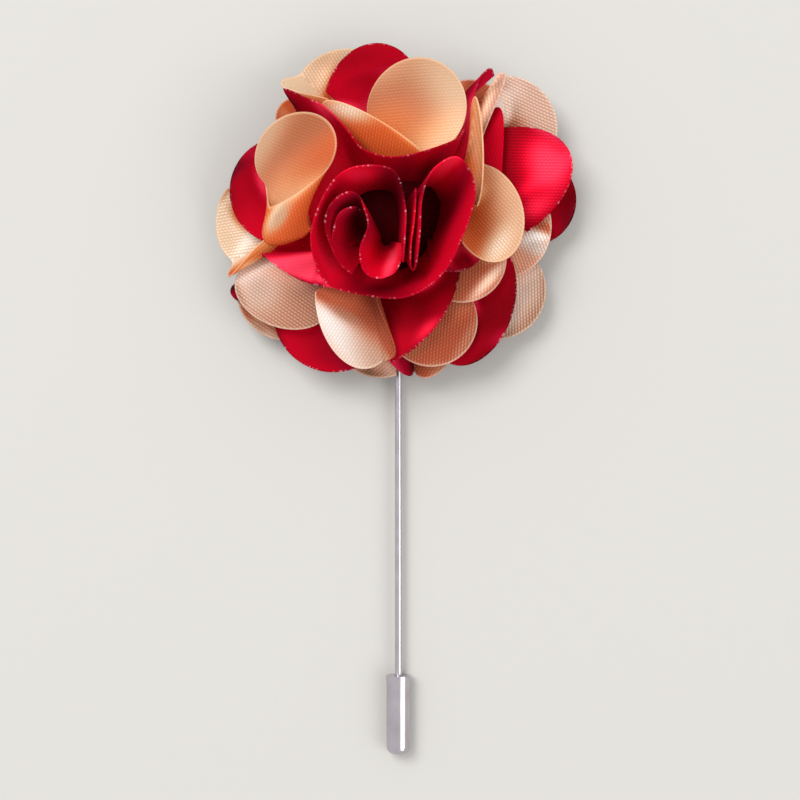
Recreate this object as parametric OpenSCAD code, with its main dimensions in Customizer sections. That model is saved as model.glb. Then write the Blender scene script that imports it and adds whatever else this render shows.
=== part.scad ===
// Fabric lapel pin: a flower of folded satin discs on a stick pin with an end cap.
// Millimetres. The flower's axis is Z, its back face is z = 0, the needle runs along -Y.

/* [Cloth] */
// Wall of every satin petal and fold.
cloth_t = 1; // [0.8:0.05:1]
// Steps round each lobe arc.
lobe_steps = 14; // [12:1:16]
// Steps round each fold of a lap.
fold_steps = 6; // [5:1:7]

/* [Back] */
// Diameter of the round felt cover on the back.
back_d = 21; // [18:0.5:23]
// Thickness of the felt cover.
back_t = 1; // [0.8:0.05:1.05]
// Diameter of the felt disc that the petals are glued to.
base_d = 24; // [22:0.5:24]

/* [Pin] */
// Diameter of the needle.
needle_d = 0.9; // [0.8:0.05:0.9]
// Length of the needle from the flower's axis to its point.
needle_reach = 66; // [64:0.5:66.2]
// Length of the tapered point.
point_l = 6; // [4:0.5:8]
// Diameter of the solder pad on the needle.
pad_d = 9; // [7:0.5:9]
// Length of the end cap.
cap_l = 9.8; // [9.4:0.1:10.5]
// Diameter of the end cap.
cap_d = 3; // [2.9:0.05:3.2]

/* [Hidden] */
$fn = 64;
gap = 0.1;
// the end cap's open end, and how far the needle sits in it
cap_mouth_y = -57.9;
cap_lip = 0.05;
cap_lip_l = 0.6;
cap_round = 0.9;
bore_play = 0.4;
bore_d = needle_d + gap;
bore_l = needle_reach + cap_mouth_y + bore_play;
pin_z = cap_d / 2 + cap_lip;
pad_t = 0.5;
point_d = needle_d / 6;
needle_head_y = 3;
pad_z = back_t + gap;
base_z = back_t + gap;
base_t = 1.4;
pocket_play = 0.2;
channel_w = needle_d + pocket_play;
channel_top = pin_z + needle_d / 2 + gap;
// the glued gather of petal roots: half an ellipsoid on the base
core_r = 9;
core_h = 6.6;
core_gap = 0.2;
core_z = base_z + base_t + core_gap;
core_steps = 14;
// clear space between the gather and the start of a petal wall
root_clear = 0.35;

champagne = [0.93, 0.76, 0.58];
satin_red = [0.72, 0.02, 0.1];
felt_black = [0.06, 0.06, 0.06];
nickel = [0.75, 0.74, 0.76];

// lobes: the arc of each satin disc that shows, and the height of its edge
// name, centre x, centre y, radius, squash, turn, from, to, z start, z middle, z end
LOBES = [
    ["front_top", 2.18, 11.66, 6.02, 0.98, 37, -66, 194, 9.85, 10.6, 7.35],
    ["front_left", -12.31, 6.2, 5.23, 0.83, 37, 2, 221, 13.45, 11.3, 9.9],
    ["front_right", 10.6, -0.95, 6.09, 0.71, -75, -129, 90, 11.7, 10.4, 8.3],
    ["front_low_left", -5.04, -11.91, 7.86, 0.62, -79, 163, 292, 8.6, 9.3, 10],
    ["front_low_red", -7.06, -5.61, 14.63, 1, 0, -5, -65, 8.8, 9, 8.6],
    ["front_left_red", -6.7, 3.46, 13.43, 1, 0, -92, -129, 10.25, 8.6, 10.95],
    ["front_low_right", 7.73, -6.23, 5.35, 1, 0, 9, -104, 7.3, 7.7, 7.6],
    ["front_right_red", 6.45, -3.64, 4.39, 1, 0, -24, -108, 9.3, 10, 10.6],
    ["mid_top_red", -3.03, 12.51, 7.49, 0.8, -99, 38, 165, 7, 7, 7],
    ["mid_right_red", 10.77, 2.21, 11.05, 0.62, -155, -46, 76, 6.4, 6.8, 5.6],
    ["mid_left_red", -13.99, 2, 6.54, 1, 0, 111, 251, 7, 6.8, 7.2],
    ["mid_upper_left", -12.63, 11.27, 2.47, 1, 0, 77, 203, 4.6, 4.6, 4.8],
    ["mid_low_left", -13.99, -10.34, 6.19, 0.69, -19, 99, 332, 4, 6.6, 7.4],
    ["mid_low_right", 4.04, -13.79, 5.56, 1, 0, 25, -155, 6.55, 6.8, 6.3],
    ["mid_low_right_red", 8.75, -11.26, 8.09, 0.67, -105, 49, -116, 6.3, 5.7, 5.2],
    ["rear_upper_left", -6.28, 12.87, 6.81, 1, 0, 66, 145, 5, 4.8, 5],
    ["rear_top", 6.56, 13.02, 2.94, 1, 0, 10, 104, 6, 6, 6],
    ["rear_upper_right", 13.24, 9.98, 6.26, 1, 0, -25, 85, 4.8, 4.8, 5.4],
    ["rear_right_red", 16.28, 1.25, 5.63, 1, 0, 29, -70, 3.8, 3.8, 3.8],
    ["rear_right", 12.66, -1.96, 6.45, 0.94, -76, 20, -76, 5.3, 5, 4.8],
    ["rear_right_low", 12.21, -9.87, 6.01, 1, 0, 32, -92, 3.5, 3.5, 3.7],
    ["rear_low_right", 4.29, -18.19, 2.97, 0.62, -130, 20, -178, 2.9, 4.4, 3.4],
    ["rear_low_tip_red", 0.56, -18.95, 1.35, 1, 0, -15, -165, 5.2, 5.2, 5.2],
    ["rear_low", -2.29, -15.45, 5.69, 0.92, 0, -157, -67, 3.7, 3.7, 3.7],
    ["rear_low_red", -7.99, -12.68, 7.33, 1, 0, -176, -53, 5.2, 5.4, 5.4],
    ["rear_low_left", -13.82, -9.86, 6.2, 1, 0, -178, -90, 3.4, 3.4, 3.4],
    ["rear_left_tip_red", -19.17, -10.68, 1.48, 1, 0, 115, 245, 3.8, 4.6, 4.6],
    ["rear_left", -16.29, -1.69, 6.22, 1, 0, 138, 227, 5.75, 3.5, 5.3],
];

// roots: the point that the lines of a cloth run to, the part of them left off, and their arch
// name, root x, root y, root z, root cut, arch x, arch y, arch z
ROOTS = [
    ["front_top", -0.06, 2.23, 6, 0.3, 0, 0, 0.5],
    ["front_left", -6.47, -1.94, 8.6, 0.3, -4.3, -3.5, -0.1],
    ["front_right", 6.06, 0.34, 6.5, 0.3, 0, 0, 0.5],
    ["front_low_left", -4.1, -5.72, 5.8, 0.3, 0, 0, 0.2],
    ["front_low_red", -0.06, -6.57, 5.8, 0.3, 0, 0, 0.5],
    ["front_left_red", -6.51, -5.22, 7.2, 0.3, 0, 0, 0],
    ["front_low_right", 3.88, -2.83, 5.1, 0.3, 0, 0, 0.5],
    ["front_right_red", 3.25, -2.1, 6.5, 0.3, 0, 0, 0.5],
    ["mid_top_red", -1.29, 7.33, 4.6, 0.3, 0, 0, 0.5],
    ["mid_right_red", 6.98, 2.42, 4.4, 0.3, 0, 0, 0.5],
    ["mid_left_red", -7.81, 0.51, 4.9, 0.3, 0, 0, 0.5],
    ["mid_upper_left", -6.62, 2.5, 3.7, 0.3, 0, 0, 0.5],
    ["mid_low_left", -6.59, -6.48, 4.5, 0.3, 0, 0, 0.5],
    ["mid_low_right", 2.04, -6.52, 5.1, 0.3, 0, 0, 0.4],
    ["mid_low_right_red", 3.9, -4.97, 4.2, 0.3, 0, 0, 0.5],
    ["rear_upper_left", -3.28, 7.49, 3.4, 0.3, 0, 0, 0.5],
    ["rear_top", 3.9, 7.38, 4.2, 0.3, 0, 0, 0.5],
    ["rear_upper_right", 5.15, 5.63, 3.4, 0.3, 0, 0, 0.2],
    ["rear_right_red", 6.41, 0.76, 2.6, 0.3, 0, 0, 0.2],
    ["rear_right", 7, -1.84, 3.7, 0.3, 0, 0, 0.4],
    ["rear_right_low", 5.16, -3.61, 2.75, 0.3, 0, 0, 0.3],
    ["rear_low_right", 2.06, -6.68, 2.3, 0.6, 0, 0, 0.5],
    ["rear_low_tip_red", 1.18, -7.37, 3.2, 0.5, 0, 0, 0.5],
    ["rear_low", -1.67, -7.36, 3, 0.3, 0, 0, 0.5],
    ["rear_low_red", -5.39, -7.39, 3.5, 0.3, 0, 0, 0.5],
    ["rear_low_left", -6.65, -5.48, 2.8, 0.3, 0, 0, 0.5],
    ["rear_left_tip_red", -7.24, -4.92, 3.55, 0.62, 0, 0, 0.5],
    ["rear_left", -8.49, -0.19, 3.3, 0.3, 0, 0, 0.5],
    ["bud_collar", 0.19, -0.83, 6, 0.62, 0, 0, 0],
    ["front_top_red", 1.42, 6.94, 5.6, 0.45, 0, 0, 0],
    ["bud_wrap", -1.37, -1.63, -8, 0.78, 0, 0, 0],
    ["bud_inner", -1.75, -2.33, -6, 0.7, 0, 0, 0],
    ["bud_heart", -3.01, -2.51, -4, 0.78, 0, 0, 0],
];

// laps: where a disc is folded over, its fold tip and the end of the lap edge
// name, tip x, tip y, tip z, end x, end y, end z, end heading, fold side, fold size,
// pull in, pull out, climb of the root
LAPS = [
    ["front_top", -9.1, 12.28, 9.4, 3.18, 5.89, 11.6, -42, -1, 1.3, 0.3, 0.5, 1.3],
    ["front_left", -15.41, -0.34, 10.6, -8.34, 3.99, 13.4, 50, 1, 0.4, 0.3, 0.35, 2.55],
    ["front_right", 9.18, 12.8, 11, 9.32, -0.49, 13.2, -115, -1, 0.65, 0.3, 0.25, 1.3],
    ["front_low_left", -0.65, -18.32, 9.7, -2.69, -11.01, 10.4, 100, 1, 1.3, 0.35, 0.35, 1.3],
    ["front_left_red", -16.29, -6.17, 10.05, -10.52, -2.2, 7.5, 5, 1, 0.8, 0.35, 0.35, -1.1],
    ["mid_right_red", 12.04, 12.19, 6.6, 12.49, 3.53, 7.4, -92, -1, 1.3, 0.3, 0.35, 1.3],
    ["rear_upper_left", -14.32, 15.31, 6.2, -8.54, 12.99, 8.4, -15, 1, 1, 0.35, 0.35, 1.3],
    ["rear_upper_right", 12.73, 16.26, 7.4, 9.78, 6.86, 8, -100, -1, 1.3, 0.3, 0.35, 1.3],
    ["rear_left", -20.71, -8.35, 6.6, -16.1, -5.02, 7.8, 35, 1, 1.3, 0.35, 0.35, 1.8],
];

// folds: a row for each turn of the edge of a rolled or wrapped disc: x, y, z
BUD_COLLAR = [
    [-13.82, 14.05, 9.3],
    [-11.12, 12.83, 10.1],
    [-8.9, 11.61, 11.3],
    [-6.11, 8.64, 12.8],
    [-4.55, 6.46, 13.5],
    [-2.42, 5.52, 13.5],
    [-0.28, 5.28, 13.5],
    [2.32, 5.75, 13.5],
    [5.29, 6.74, 13.2],
    [7.08, 7.63, 12.8],
    [7.8, 8.63, 12.5],
];
FRONT_TOP_RED = [
    [7.82, 7.99, 8.6],
    [8.42, 10.38, 8.8],
    [8.77, 13.01, 9],
    [9.72, 15, 9.4],
    [10.69, 16.44, 9.4],
];
BUD_WRAP = [
    [0.54, -7.31, 15.6],
    [0.77, -4.33, 16.3],
    [0.77, -0.76, 16.8],
    [-0.51, 3.18, 17],
    [-4.35, 3.77, 17],
    [-7.16, 2.51, 16.8],
    [-9.27, -0.83, 16.4],
    [-10.23, -5, 16],
    [-8.61, -9.54, 15.5],
    [-4.51, -11.04, 15.1],
    [0.78, -11.39, 15],
    [5, -8.84, 15.6],
    [7.55, -4.23, 16.5],
    [8.92, 0.47, 17.3],
    [8.09, 3.47, 17.5],
    [6.47, 4.75, 17.5],
    [3.91, 3.12, 17.5],
    [2.75, 0.04, 17],
    [2.52, -3.89, 16.6],
    [2.07, -7.67, 15.6],
];
BUD_INNER = [
    [-0.52, -7.72, 14.8],
    [-1.69, -8.92, 15],
    [-3.34, -8.81, 15.2],
    [-4.39, -7.42, 15.5],
    [-4.26, -5.45, 15.8],
    [-3.2, -3.5, 16.2],
    [-3.66, -1.2, 16.6],
    [-4.71, 0.41, 16.8],
    [-6.22, 0.64, 16.8],
    [-7.52, -1.08, 16.5],
    [-8, -3.84, 16.1],
    [-7.55, -6.26, 15.6],
    [-6.05, -8.44, 14.9],
];
BUD_HEART = [
    [-5.69, -6.21, 15],
    [-5.91, -4.26, 15.5],
    [-5.66, -2.54, 16],
    [-4.84, -2.1, 16.2],
];

// column names
NAME = 0;
CX = 1;
CY = 2;
RADIUS = 3;
SQUASH = 4;
TURN = 5;
FROM = 6;
TO = 7;
Z_START = 8;
Z_MID = 9;
Z_END = 10;
ROOT = 1;
ROOT_CUT = 4;
ARCH = 5;
TIP = 1;
LAP_END = 4;
HEADING = 7;
SIDE = 8;
FOLD = 9;
PULL_IN = 10;
PULL_OUT = 11;
CLIMB = 12;

function row_of(name, table) = [for (r = table) if (r[NAME] == name) r];
function xyz(r, i) = [r[i], r[i + 1], r[i + 2]];
function ease(t) = (1 - cos(180 * t)) / 2;
function unit(v) = v / norm(v);

// a point of a cubic curve from four control points
function cubic(a, b, c, d, t) =
    pow(1 - t, 3) * a + 3 * pow(1 - t, 2) * t * b + 3 * (1 - t) * t * t * c + pow(t, 3) * d;

// height of a disc's edge, at fraction u of its lobe arc
function lobe_z(r, u) =
    u < 0.5
        ? r[Z_START] + (r[Z_MID] - r[Z_START]) * ease(2 * u)
        : r[Z_MID] + (r[Z_END] - r[Z_MID]) * ease(2 * u - 1);

// a point of the lobe arc: an ellipse squashed across and turned
function lobe_point(r, u) =
    let (a = r[FROM] + (r[TO] - r[FROM]) * u - r[TURN],
         e = atan2(sin(a) / r[SQUASH], cos(a)),
         along = r[RADIUS] * cos(e),
         across = r[RADIUS] * r[SQUASH] * sin(e))
    [r[CX] + along * cos(r[TURN]) - across * sin(r[TURN]),
     r[CY] + along * sin(r[TURN]) + across * cos(r[TURN]),
     lobe_z(r, u)];

function lobe_edge(r) = [for (i = [0 : lobe_steps]) lobe_point(r, i / lobe_steps)];

// edge of a lap: round the fold tip, then along the lap to its end
function lap_edge(lobe, lap) =
    let (a = lobe[len(lobe) - 1],
         before = lobe[len(lobe) - 2],
         tip = xyz(lap, TIP),
         end = xyz(lap, LAP_END),
         mid = (a + end) / 2,
         out = unit([tip[0] - mid[0], tip[1] - mid[1]]),
         h = lap[FOLD],
         lift = max(-h, min(h, (end[2] - a[2]) / 2)),
         turn = [-out[1] * lap[SIDE] * h, out[0] * lap[SIDE] * h, lift],
         leave = a + unit(a - before) * norm(tip - a) * lap[PULL_IN],
         heading = [cos(lap[HEADING]), sin(lap[HEADING]), 0],
         arrive = end - heading * norm(end - tip) * lap[PULL_OUT],
         n = round(fold_steps * 1.5))
    concat(
        [for (i = [1 : fold_steps]) cubic(a, leave, tip - turn, tip, i / fold_steps)],
        [for (i = [1 : n]) cubic(tip, tip + turn, arrive, end, i / n)]);

function petal_edge(name) =
    let (lobe = lobe_edge(row_of(name, LOBES)[0]),
         laps = row_of(name, LAPS))
    len(laps) == 0 ? lobe : concat(lobe, lap_edge(lobe, laps[0]));

// the root of each line of cloth: it climbs while the edge goes round the fold tip
function petal_roots(name, edge) =
    let (root = xyz(row_of(name, ROOTS)[0], ROOT),
         laps = row_of(name, LAPS),
         climb = len(laps) == 0 ? 0 : laps[0][CLIMB],
         span = fold_steps * 1.5)
    [for (i = [0 : len(edge) - 1])
        root + [0, 0, climb * ease(max(0, min(1, (i - lobe_steps) / span)))]];

// a smooth edge through the turns of a fold
fold_span_steps = 3;
function turn_at(k, i) =
    i < 0 ? 2 * k[0] - k[1] : i >= len(k) ? 2 * k[len(k) - 1] - k[len(k) - 2] : k[i];
function spline(a, b, c, d, t) =
    0.5 * (2 * b + (c - a) * t + (2 * a - 5 * b + 4 * c - d) * t * t + (3 * b - a - 3 * c + d) * pow(t, 3));
function fold_edge(k) = concat(
    [for (i = [0 : len(k) - 2], j = [0 : fold_span_steps - 1])
        spline(turn_at(k, i - 1), k[i], k[i + 1], turn_at(k, i + 2), j / fold_span_steps)],
    [k[len(k) - 1]]);

// a point of the cloth: on the line from the root to the edge, arched in between
function cloth_point(root, edge, arch, v) = root + v * (edge - root) + 4 * v * (1 - v) * arch;

// inside the gather of roots, grown by the clear space
function in_core(p) =
    pow(norm([p[0], p[1]]) / (core_r + root_clear), 2)
        + pow((p[2] - core_z) / (core_h + root_clear), 2) < 1;

// halve the interval until the place where the cloth leaves the gather is known
cut_steps = 12;
function leave_core(root, edge, arch, lo = 0, hi = 1, k = cut_steps) =
    k == 0 ? hi
        : let (m = (lo + hi) / 2)
          in_core(cloth_point(root, edge, arch, m))
              ? leave_core(root, edge, arch, m, hi, k - 1)
              : leave_core(root, edge, arch, lo, m, k - 1);

// rows of points of the cloth's middle surface, from the root cut to the edge
cloth_rows = 2;
function cloth_grid(roots, edge, arch, cut) =
    [for (i = [0 : len(edge) - 1])
        let (v0 = max(cut, leave_core(roots[i], edge[i], arch)))
        [for (j = [0 : cloth_rows])
            cloth_point(roots[i], edge[i], arch, v0 + (1 - v0) * j / cloth_rows)]];

function at(g, i, j) = g[max(0, min(len(g) - 1, i))][max(0, min(len(g[0]) - 1, j))];
function cloth_normal(g, i, j) =
    unit(cross(at(g, i + 1, j) - at(g, i - 1, j), at(g, i, j + 1) - at(g, i, j - 1)));

// a closed wall of cloth about the middle surface
module cloth_wall(g) {
    n = len(g);
    m = len(g[0]);
    half = cloth_t / 2;
    offsets = [for (i = [0 : n - 1], j = [0 : m - 1]) half * cloth_normal(g, i, j)];
    middle = [for (i = [0 : n - 1], j = [0 : m - 1]) g[i][j]];
    points = concat(middle + offsets, middle - offsets);
    back = n * m;
    front_faces = [for (i = [0 : n - 2], j = [0 : m - 2])
        let (a = i * m + j, b = a + m, c = b + 1, d = a + 1)
        each [[a, c, b], [a, d, c]]];
    back_faces = [for (f = front_faces) [back + f[0], back + f[2], back + f[1]]];
    long_faces = [for (i = [0 : n - 2])
        let (a = i * m, b = a + m, c = a + m - 1, d = b + m - 1)
        each [[a, b, back + b], [a, back + b, back + a],
              [c, back + d, d], [c, back + c, back + d]]];
    end_faces = [for (j = [0 : m - 2])
        let (a = j, b = a + 1, c = (n - 1) * m + j, d = c + 1)
        each [[a, back + b, b], [a, back + a, back + b],
              [c, d, back + d], [c, back + d, back + c]]];
    polyhedron(points, concat(front_faces, back_faces, long_faces, end_faces));
}

module petal(name) {
    r = row_of(name, ROOTS)[0];
    edge = petal_edge(name);
    cloth_wall(cloth_grid(petal_roots(name, edge), edge, xyz(r, ARCH), r[ROOT_CUT]));
}

module fold(name, turns) {
    r = row_of(name, ROOTS)[0];
    edge = fold_edge(turns);
    cloth_wall(cloth_grid([for (e = edge) xyz(r, ROOT)], edge, xyz(r, ARCH), r[ROOT_CUT]));
}

// sub-parts

module front_top() {
    color(champagne) petal("front_top");
}

module front_left() {
    color(champagne) petal("front_left");
}

module front_right() {
    color(champagne) petal("front_right");
}

module front_low_left() {
    color(champagne) petal("front_low_left");
}

module front_low_red() {
    color(satin_red) petal("front_low_red");
}

module front_left_red() {
    color(satin_red) petal("front_left_red");
}

module front_low_right() {
    color(champagne) petal("front_low_right");
}

module front_right_red() {
    color(satin_red) petal("front_right_red");
}

module mid_top_red() {
    color(satin_red) petal("mid_top_red");
}

module mid_right_red() {
    color(satin_red) petal("mid_right_red");
}

module mid_left_red() {
    color(satin_red) petal("mid_left_red");
}

module mid_upper_left() {
    color(champagne) petal("mid_upper_left");
}

module mid_low_left() {
    color(champagne) petal("mid_low_left");
}

module mid_low_right() {
    color(champagne) petal("mid_low_right");
}

module mid_low_right_red() {
    color(satin_red) petal("mid_low_right_red");
}

module rear_upper_left() {
    color(champagne) petal("rear_upper_left");
}

module rear_top() {
    color(champagne) petal("rear_top");
}

module rear_upper_right() {
    color(champagne) petal("rear_upper_right");
}

module rear_right_red() {
    color(satin_red) petal("rear_right_red");
}

module rear_right() {
    color(champagne) petal("rear_right");
}

module rear_right_low() {
    color(champagne) petal("rear_right_low");
}

module rear_low_right() {
    color(champagne) petal("rear_low_right");
}

module rear_low_tip_red() {
    color(satin_red) petal("rear_low_tip_red");
}

module rear_low() {
    color(champagne) petal("rear_low");
}

module rear_low_red() {
    color(satin_red) petal("rear_low_red");
}

module rear_low_left() {
    color(champagne) petal("rear_low_left");
}

module rear_left_tip_red() {
    color(satin_red) petal("rear_left_tip_red");
}

module rear_left() {
    color(champagne) petal("rear_left");
}

module bud_collar() {
    color(satin_red) fold("bud_collar", BUD_COLLAR);
}

module front_top_red() {
    color(satin_red) fold("front_top_red", FRONT_TOP_RED);
}

module bud_wrap() {
    color(satin_red) fold("bud_wrap", BUD_WRAP);
}

module bud_inner() {
    color(satin_red) fold("bud_inner", BUD_INNER);
}

module bud_heart() {
    color(satin_red) fold("bud_heart", BUD_HEART);
}

// the petals' roots, gathered and glued on the base
module root_gather() {
    profile = [for (i = [0 : core_steps])
        let (a = 90 * i / core_steps)
        [core_r * cos(a), core_z + core_h * sin(a)]];
    color(satin_red) rotate_extrude() polygon(concat([[0, core_z]], profile));
}

// felt disc under the petals, with a pocket for the pad and a channel for the needle
module felt_base() {
    pocket_d = pad_d + 2 * pocket_play;
    pocket_t = pad_t + gap;
    color(felt_black) difference() {
        translate([0, 0, base_z]) cylinder(h = base_t, d = base_d);
        translate([0, 0, base_z - 1]) cylinder(h = pocket_t + 1, d = pocket_d);
        translate([-channel_w / 2, -base_d, base_z - 1])
            cube([channel_w, base_d + needle_head_y + pocket_play, channel_top - base_z + 1]);
    }
}

module felt_back() {
    color(felt_black) cylinder(h = back_t, d = back_d);
}

// stick pin soldered to its round pad: one piece of metal
module needle() {
    shank_l = needle_reach - point_l + needle_head_y;
    color(nickel) union() {
        translate([0, 0, pad_z]) cylinder(h = pad_t, d = pad_d);
        translate([0, needle_head_y, pin_z]) rotate([90, 0, 0]) cylinder(h = shank_l, d = needle_d);
        translate([0, needle_head_y - shank_l, pin_z]) rotate([90, 0, 0])
            cylinder(h = point_l, d1 = needle_d, d2 = point_d);
    }
}

// tube with a rounded closed end, a thin lip at its mouth and a blind bore
module end_cap() {
    r = cap_d / 2;
    round_steps = 5;
    nose = [for (i = [0 : round_steps])
        let (a = 90 * i / round_steps)
        [r - cap_round + cap_round * cos(a), cap_l - cap_round + cap_round * sin(a)]];
    outline = concat(
        [[bore_d / 2, 0], [r + cap_lip, 0], [r + cap_lip, cap_lip_l], [r, cap_lip_l]],
        nose,
        [[0, cap_l], [0, bore_l], [bore_d / 2, bore_l]]);
    color(nickel) translate([0, cap_mouth_y, pin_z]) rotate([90, 0, 0]) rotate_extrude() polygon(outline);
}

front_top();
front_left();
front_right();
front_low_left();
front_low_red();
front_left_red();
front_low_right();
front_right_red();
mid_top_red();
mid_right_red();
mid_left_red();
mid_upper_left();
mid_low_left();
mid_low_right();
mid_low_right_red();
rear_upper_left();
rear_top();
rear_upper_right();
rear_right_red();
rear_right();
rear_right_low();
rear_low_right();
rear_low_tip_red();
rear_low();
rear_low_red();
rear_low_left();
rear_left_tip_red();
rear_left();
bud_collar();
front_top_red();
bud_wrap();
bud_inner();
bud_heart();
root_gather();
felt_base();
felt_back();
needle();
end_cap();
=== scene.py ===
"""Looks of a fabric lapel pin: a satin flower on a stick pin, lying on its felt back.

Every petal is a thin sheet of satin worked out from the same lobes, laps and roots as its
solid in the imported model. Sizes are in millimetres until a mesh is made.
"""

import logging
from dataclasses import dataclass, field
from enum import Enum

import bpy
import numpy as np
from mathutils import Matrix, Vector


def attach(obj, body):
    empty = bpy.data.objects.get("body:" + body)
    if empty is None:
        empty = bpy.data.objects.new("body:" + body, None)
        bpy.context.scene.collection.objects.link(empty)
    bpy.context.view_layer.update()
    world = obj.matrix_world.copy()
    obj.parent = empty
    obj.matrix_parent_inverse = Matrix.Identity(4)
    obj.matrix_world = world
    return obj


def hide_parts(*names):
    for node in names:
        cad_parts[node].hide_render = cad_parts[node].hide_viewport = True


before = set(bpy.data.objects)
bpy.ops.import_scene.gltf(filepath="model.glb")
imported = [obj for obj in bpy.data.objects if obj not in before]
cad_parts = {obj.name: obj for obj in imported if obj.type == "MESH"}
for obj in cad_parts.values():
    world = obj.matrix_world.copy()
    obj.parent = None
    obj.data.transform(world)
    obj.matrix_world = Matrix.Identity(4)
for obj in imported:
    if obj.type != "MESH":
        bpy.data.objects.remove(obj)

LOG = logging.getLogger("lapel_pin")
Points = np.ndarray

MM = 0.001
"""Metres in a millimetre."""

BODY_FLOWER = "flower"
"""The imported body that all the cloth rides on."""

SMALLEST_CUT = 10.0
"""The least side of a cloth's flat cut, in millimetres."""


def linear(red: float, green: float, blue: float) -> tuple[float, float, float, float]:
    """Turn a screen colour of 0 to 255 into the linear colour that shaders use.

    Args:
        red: red channel.
        green: green channel.
        blue: blue channel.

    Returns:
        Linear red, green, blue and an alpha of 1.
    """
    screen = np.array([red, green, blue]) / 255
    value = np.where(screen <= 0.04045, screen / 12.92, ((screen + 0.055) / 1.055) ** 2.4)
    return (float(value[0]), float(value[1]), float(value[2]), 1.0)


def unit(vectors: Points) -> Points:
    """Return the vectors scaled to a length of one."""
    return vectors / np.maximum(np.linalg.norm(vectors, axis=-1, keepdims=True), 1e-9)


def ease(part: Points) -> Points:
    """Return half a cosine wave from 0 to 1: (1 - cos(pi t)) / 2."""
    return (1 - np.cos(np.pi * part)) / 2


def cubic(controls: list[Points], steps: int) -> Points:
    """Points of a Bezier curve, without its first point.

    Formula: (1-t)^3 a + 3 (1-t)^2 t b + 3 (1-t) t^2 c + t^3 d.

    Args:
        controls: four control points.
        steps: number of points.

    Returns:
        An array of steps points.
    """
    a, b, c, d = controls
    t = np.linspace(0, 1, steps + 1)[1:, None]
    return (1 - t) ** 3 * a + 3 * (1 - t) ** 2 * t * b + 3 * (1 - t) * t**2 * c + t**3 * d


def spline_through(turns: Points, steps: int) -> Points:
    """Points of a Catmull-Rom curve through every turn of a fold.

    Formula: on each span, half of (2b + (c-a) t + (2a-5b+4c-d) t^2 + (3b-a-3c+d) t^3),
    with the end turns mirrored outwards.

    Args:
        turns: the points that the curve passes through.
        steps: steps on each span.

    Returns:
        The curve's points, the last turn included.
    """
    ends = np.vstack([2 * turns[0] - turns[1], turns, 2 * turns[-1] - turns[-2]])
    a, b, c, d = (ends[i : len(ends) - 3 + i, None, :] for i in range(4))
    t = np.linspace(0, 1, steps, endpoint=False)[None, :, None]
    curve = 0.5 * (
        2 * b + (c - a) * t + (2 * a - 5 * b + 4 * c - d) * t**2 + (3 * b - a - 3 * c + d) * t**3
    )
    return np.vstack([curve.reshape(-1, 3), turns[-1]])


@dataclass(frozen=True)
class Lobe:
    """Free edge of a satin disc: an arc of a squashed, turned ellipse.

    Angles are true directions from the centre, in degrees.
    """

    x: float
    y: float
    radius: float
    squash: float
    turn: float
    start: float
    stop: float
    z_start: float
    z_middle: float
    z_end: float

    def edge(self, steps: int) -> Points:
        """Points of the arc.

        Formula: the direction is turned into the ellipse's own angle e by
        tan e = tan(direction - turn) / squash; the height eases from start to middle to end.

        Args:
            steps: number of steps round the arc.

        Returns:
            steps + 1 points in millimetres.
        """
        u = np.linspace(0, 1, steps + 1)
        turn = np.radians(self.turn)
        direction = np.radians(self.start + (self.stop - self.start) * u) - turn
        angle = np.arctan2(np.sin(direction) / self.squash, np.cos(direction))
        along = self.radius * np.cos(angle)
        across = self.radius * self.squash * np.sin(angle)
        z = np.where(
            u < 0.5,
            self.z_start + (self.z_middle - self.z_start) * ease(2 * u),
            self.z_middle + (self.z_end - self.z_middle) * ease(2 * u - 1),
        )
        return np.stack(
            [
                self.x + along * np.cos(turn) - across * np.sin(turn),
                self.y + along * np.sin(turn) + across * np.cos(turn),
                z,
            ],
            axis=1,
        )


@dataclass(frozen=True)
class Lap:
    """The part of a disc that is folded back over its lobe, round a fold tip."""

    tip: tuple[float, float, float]
    end: tuple[float, float, float]
    heading: float
    side: int
    fold: float
    pull_in: float
    pull_out: float

    def edge(self, lobe: Points, into_tip: int, out_of_tip: int) -> Points:
        """Points of the lap's edge: round the fold tip, then along the lap to its end.

        Formula: two Bezier curves that meet at the tip; both pass it sideways, across the
        line from the fold's middle to its tip, at the fold's size.

        Args:
            lobe: the lobe's edge that it goes on from.
            into_tip: steps up to the tip.
            out_of_tip: steps from the tip to the end.

        Returns:
            The edge's points in millimetres.
        """
        tip, end = np.array(self.tip), np.array(self.end)
        last, before = lobe[-1], lobe[-2]
        out = unit(tip[:2] - (last[:2] + end[:2]) / 2)
        lift = np.clip((end[2] - last[2]) / 2, -self.fold, self.fold)
        across = np.array([-out[1] * self.side * self.fold, out[0] * self.side * self.fold, lift])
        leave = last + unit(last - before) * np.linalg.norm(tip - last) * self.pull_in
        course = np.radians(self.heading)
        heading = np.array([np.cos(course), np.sin(course), 0])
        arrive = end - heading * np.linalg.norm(end - tip) * self.pull_out
        return np.vstack(
            [
                cubic([last, leave, tip - across, tip], into_tip),
                cubic([tip, tip + across, arrive, end], out_of_tip),
            ]
        )


@dataclass(frozen=True)
class Root:
    """Where a petal's lines of cloth run to, how much of them is left off, and their arch."""

    x: float
    y: float
    z: float
    cut: float
    arch: tuple[float, float, float] = (0, 0, 0.5)


@dataclass(frozen=True)
class Shade:
    """Painted light and shade of a part of a cloth, before its patches.

    The tone is painted shading, from 0, lit, to 1, shaded, and the painted glow runs from 0,
    plain, to 1, glowing with light painted in from the cloth round it. The ribs run at an angle
    over the flower, in degrees, and show as much as their depth: the weave's own pattern, and
    partly painted glints where it catches the light.
    """

    tone: float
    painted_glow: float
    ribs: float = 0.0
    depth: float = 0.5

    @property
    def layers(self) -> Points:
        """Painted shading and painted glow as two layers that spread over a grid."""
        return np.array([self.tone, self.painted_glow])[:, None, None]


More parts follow.
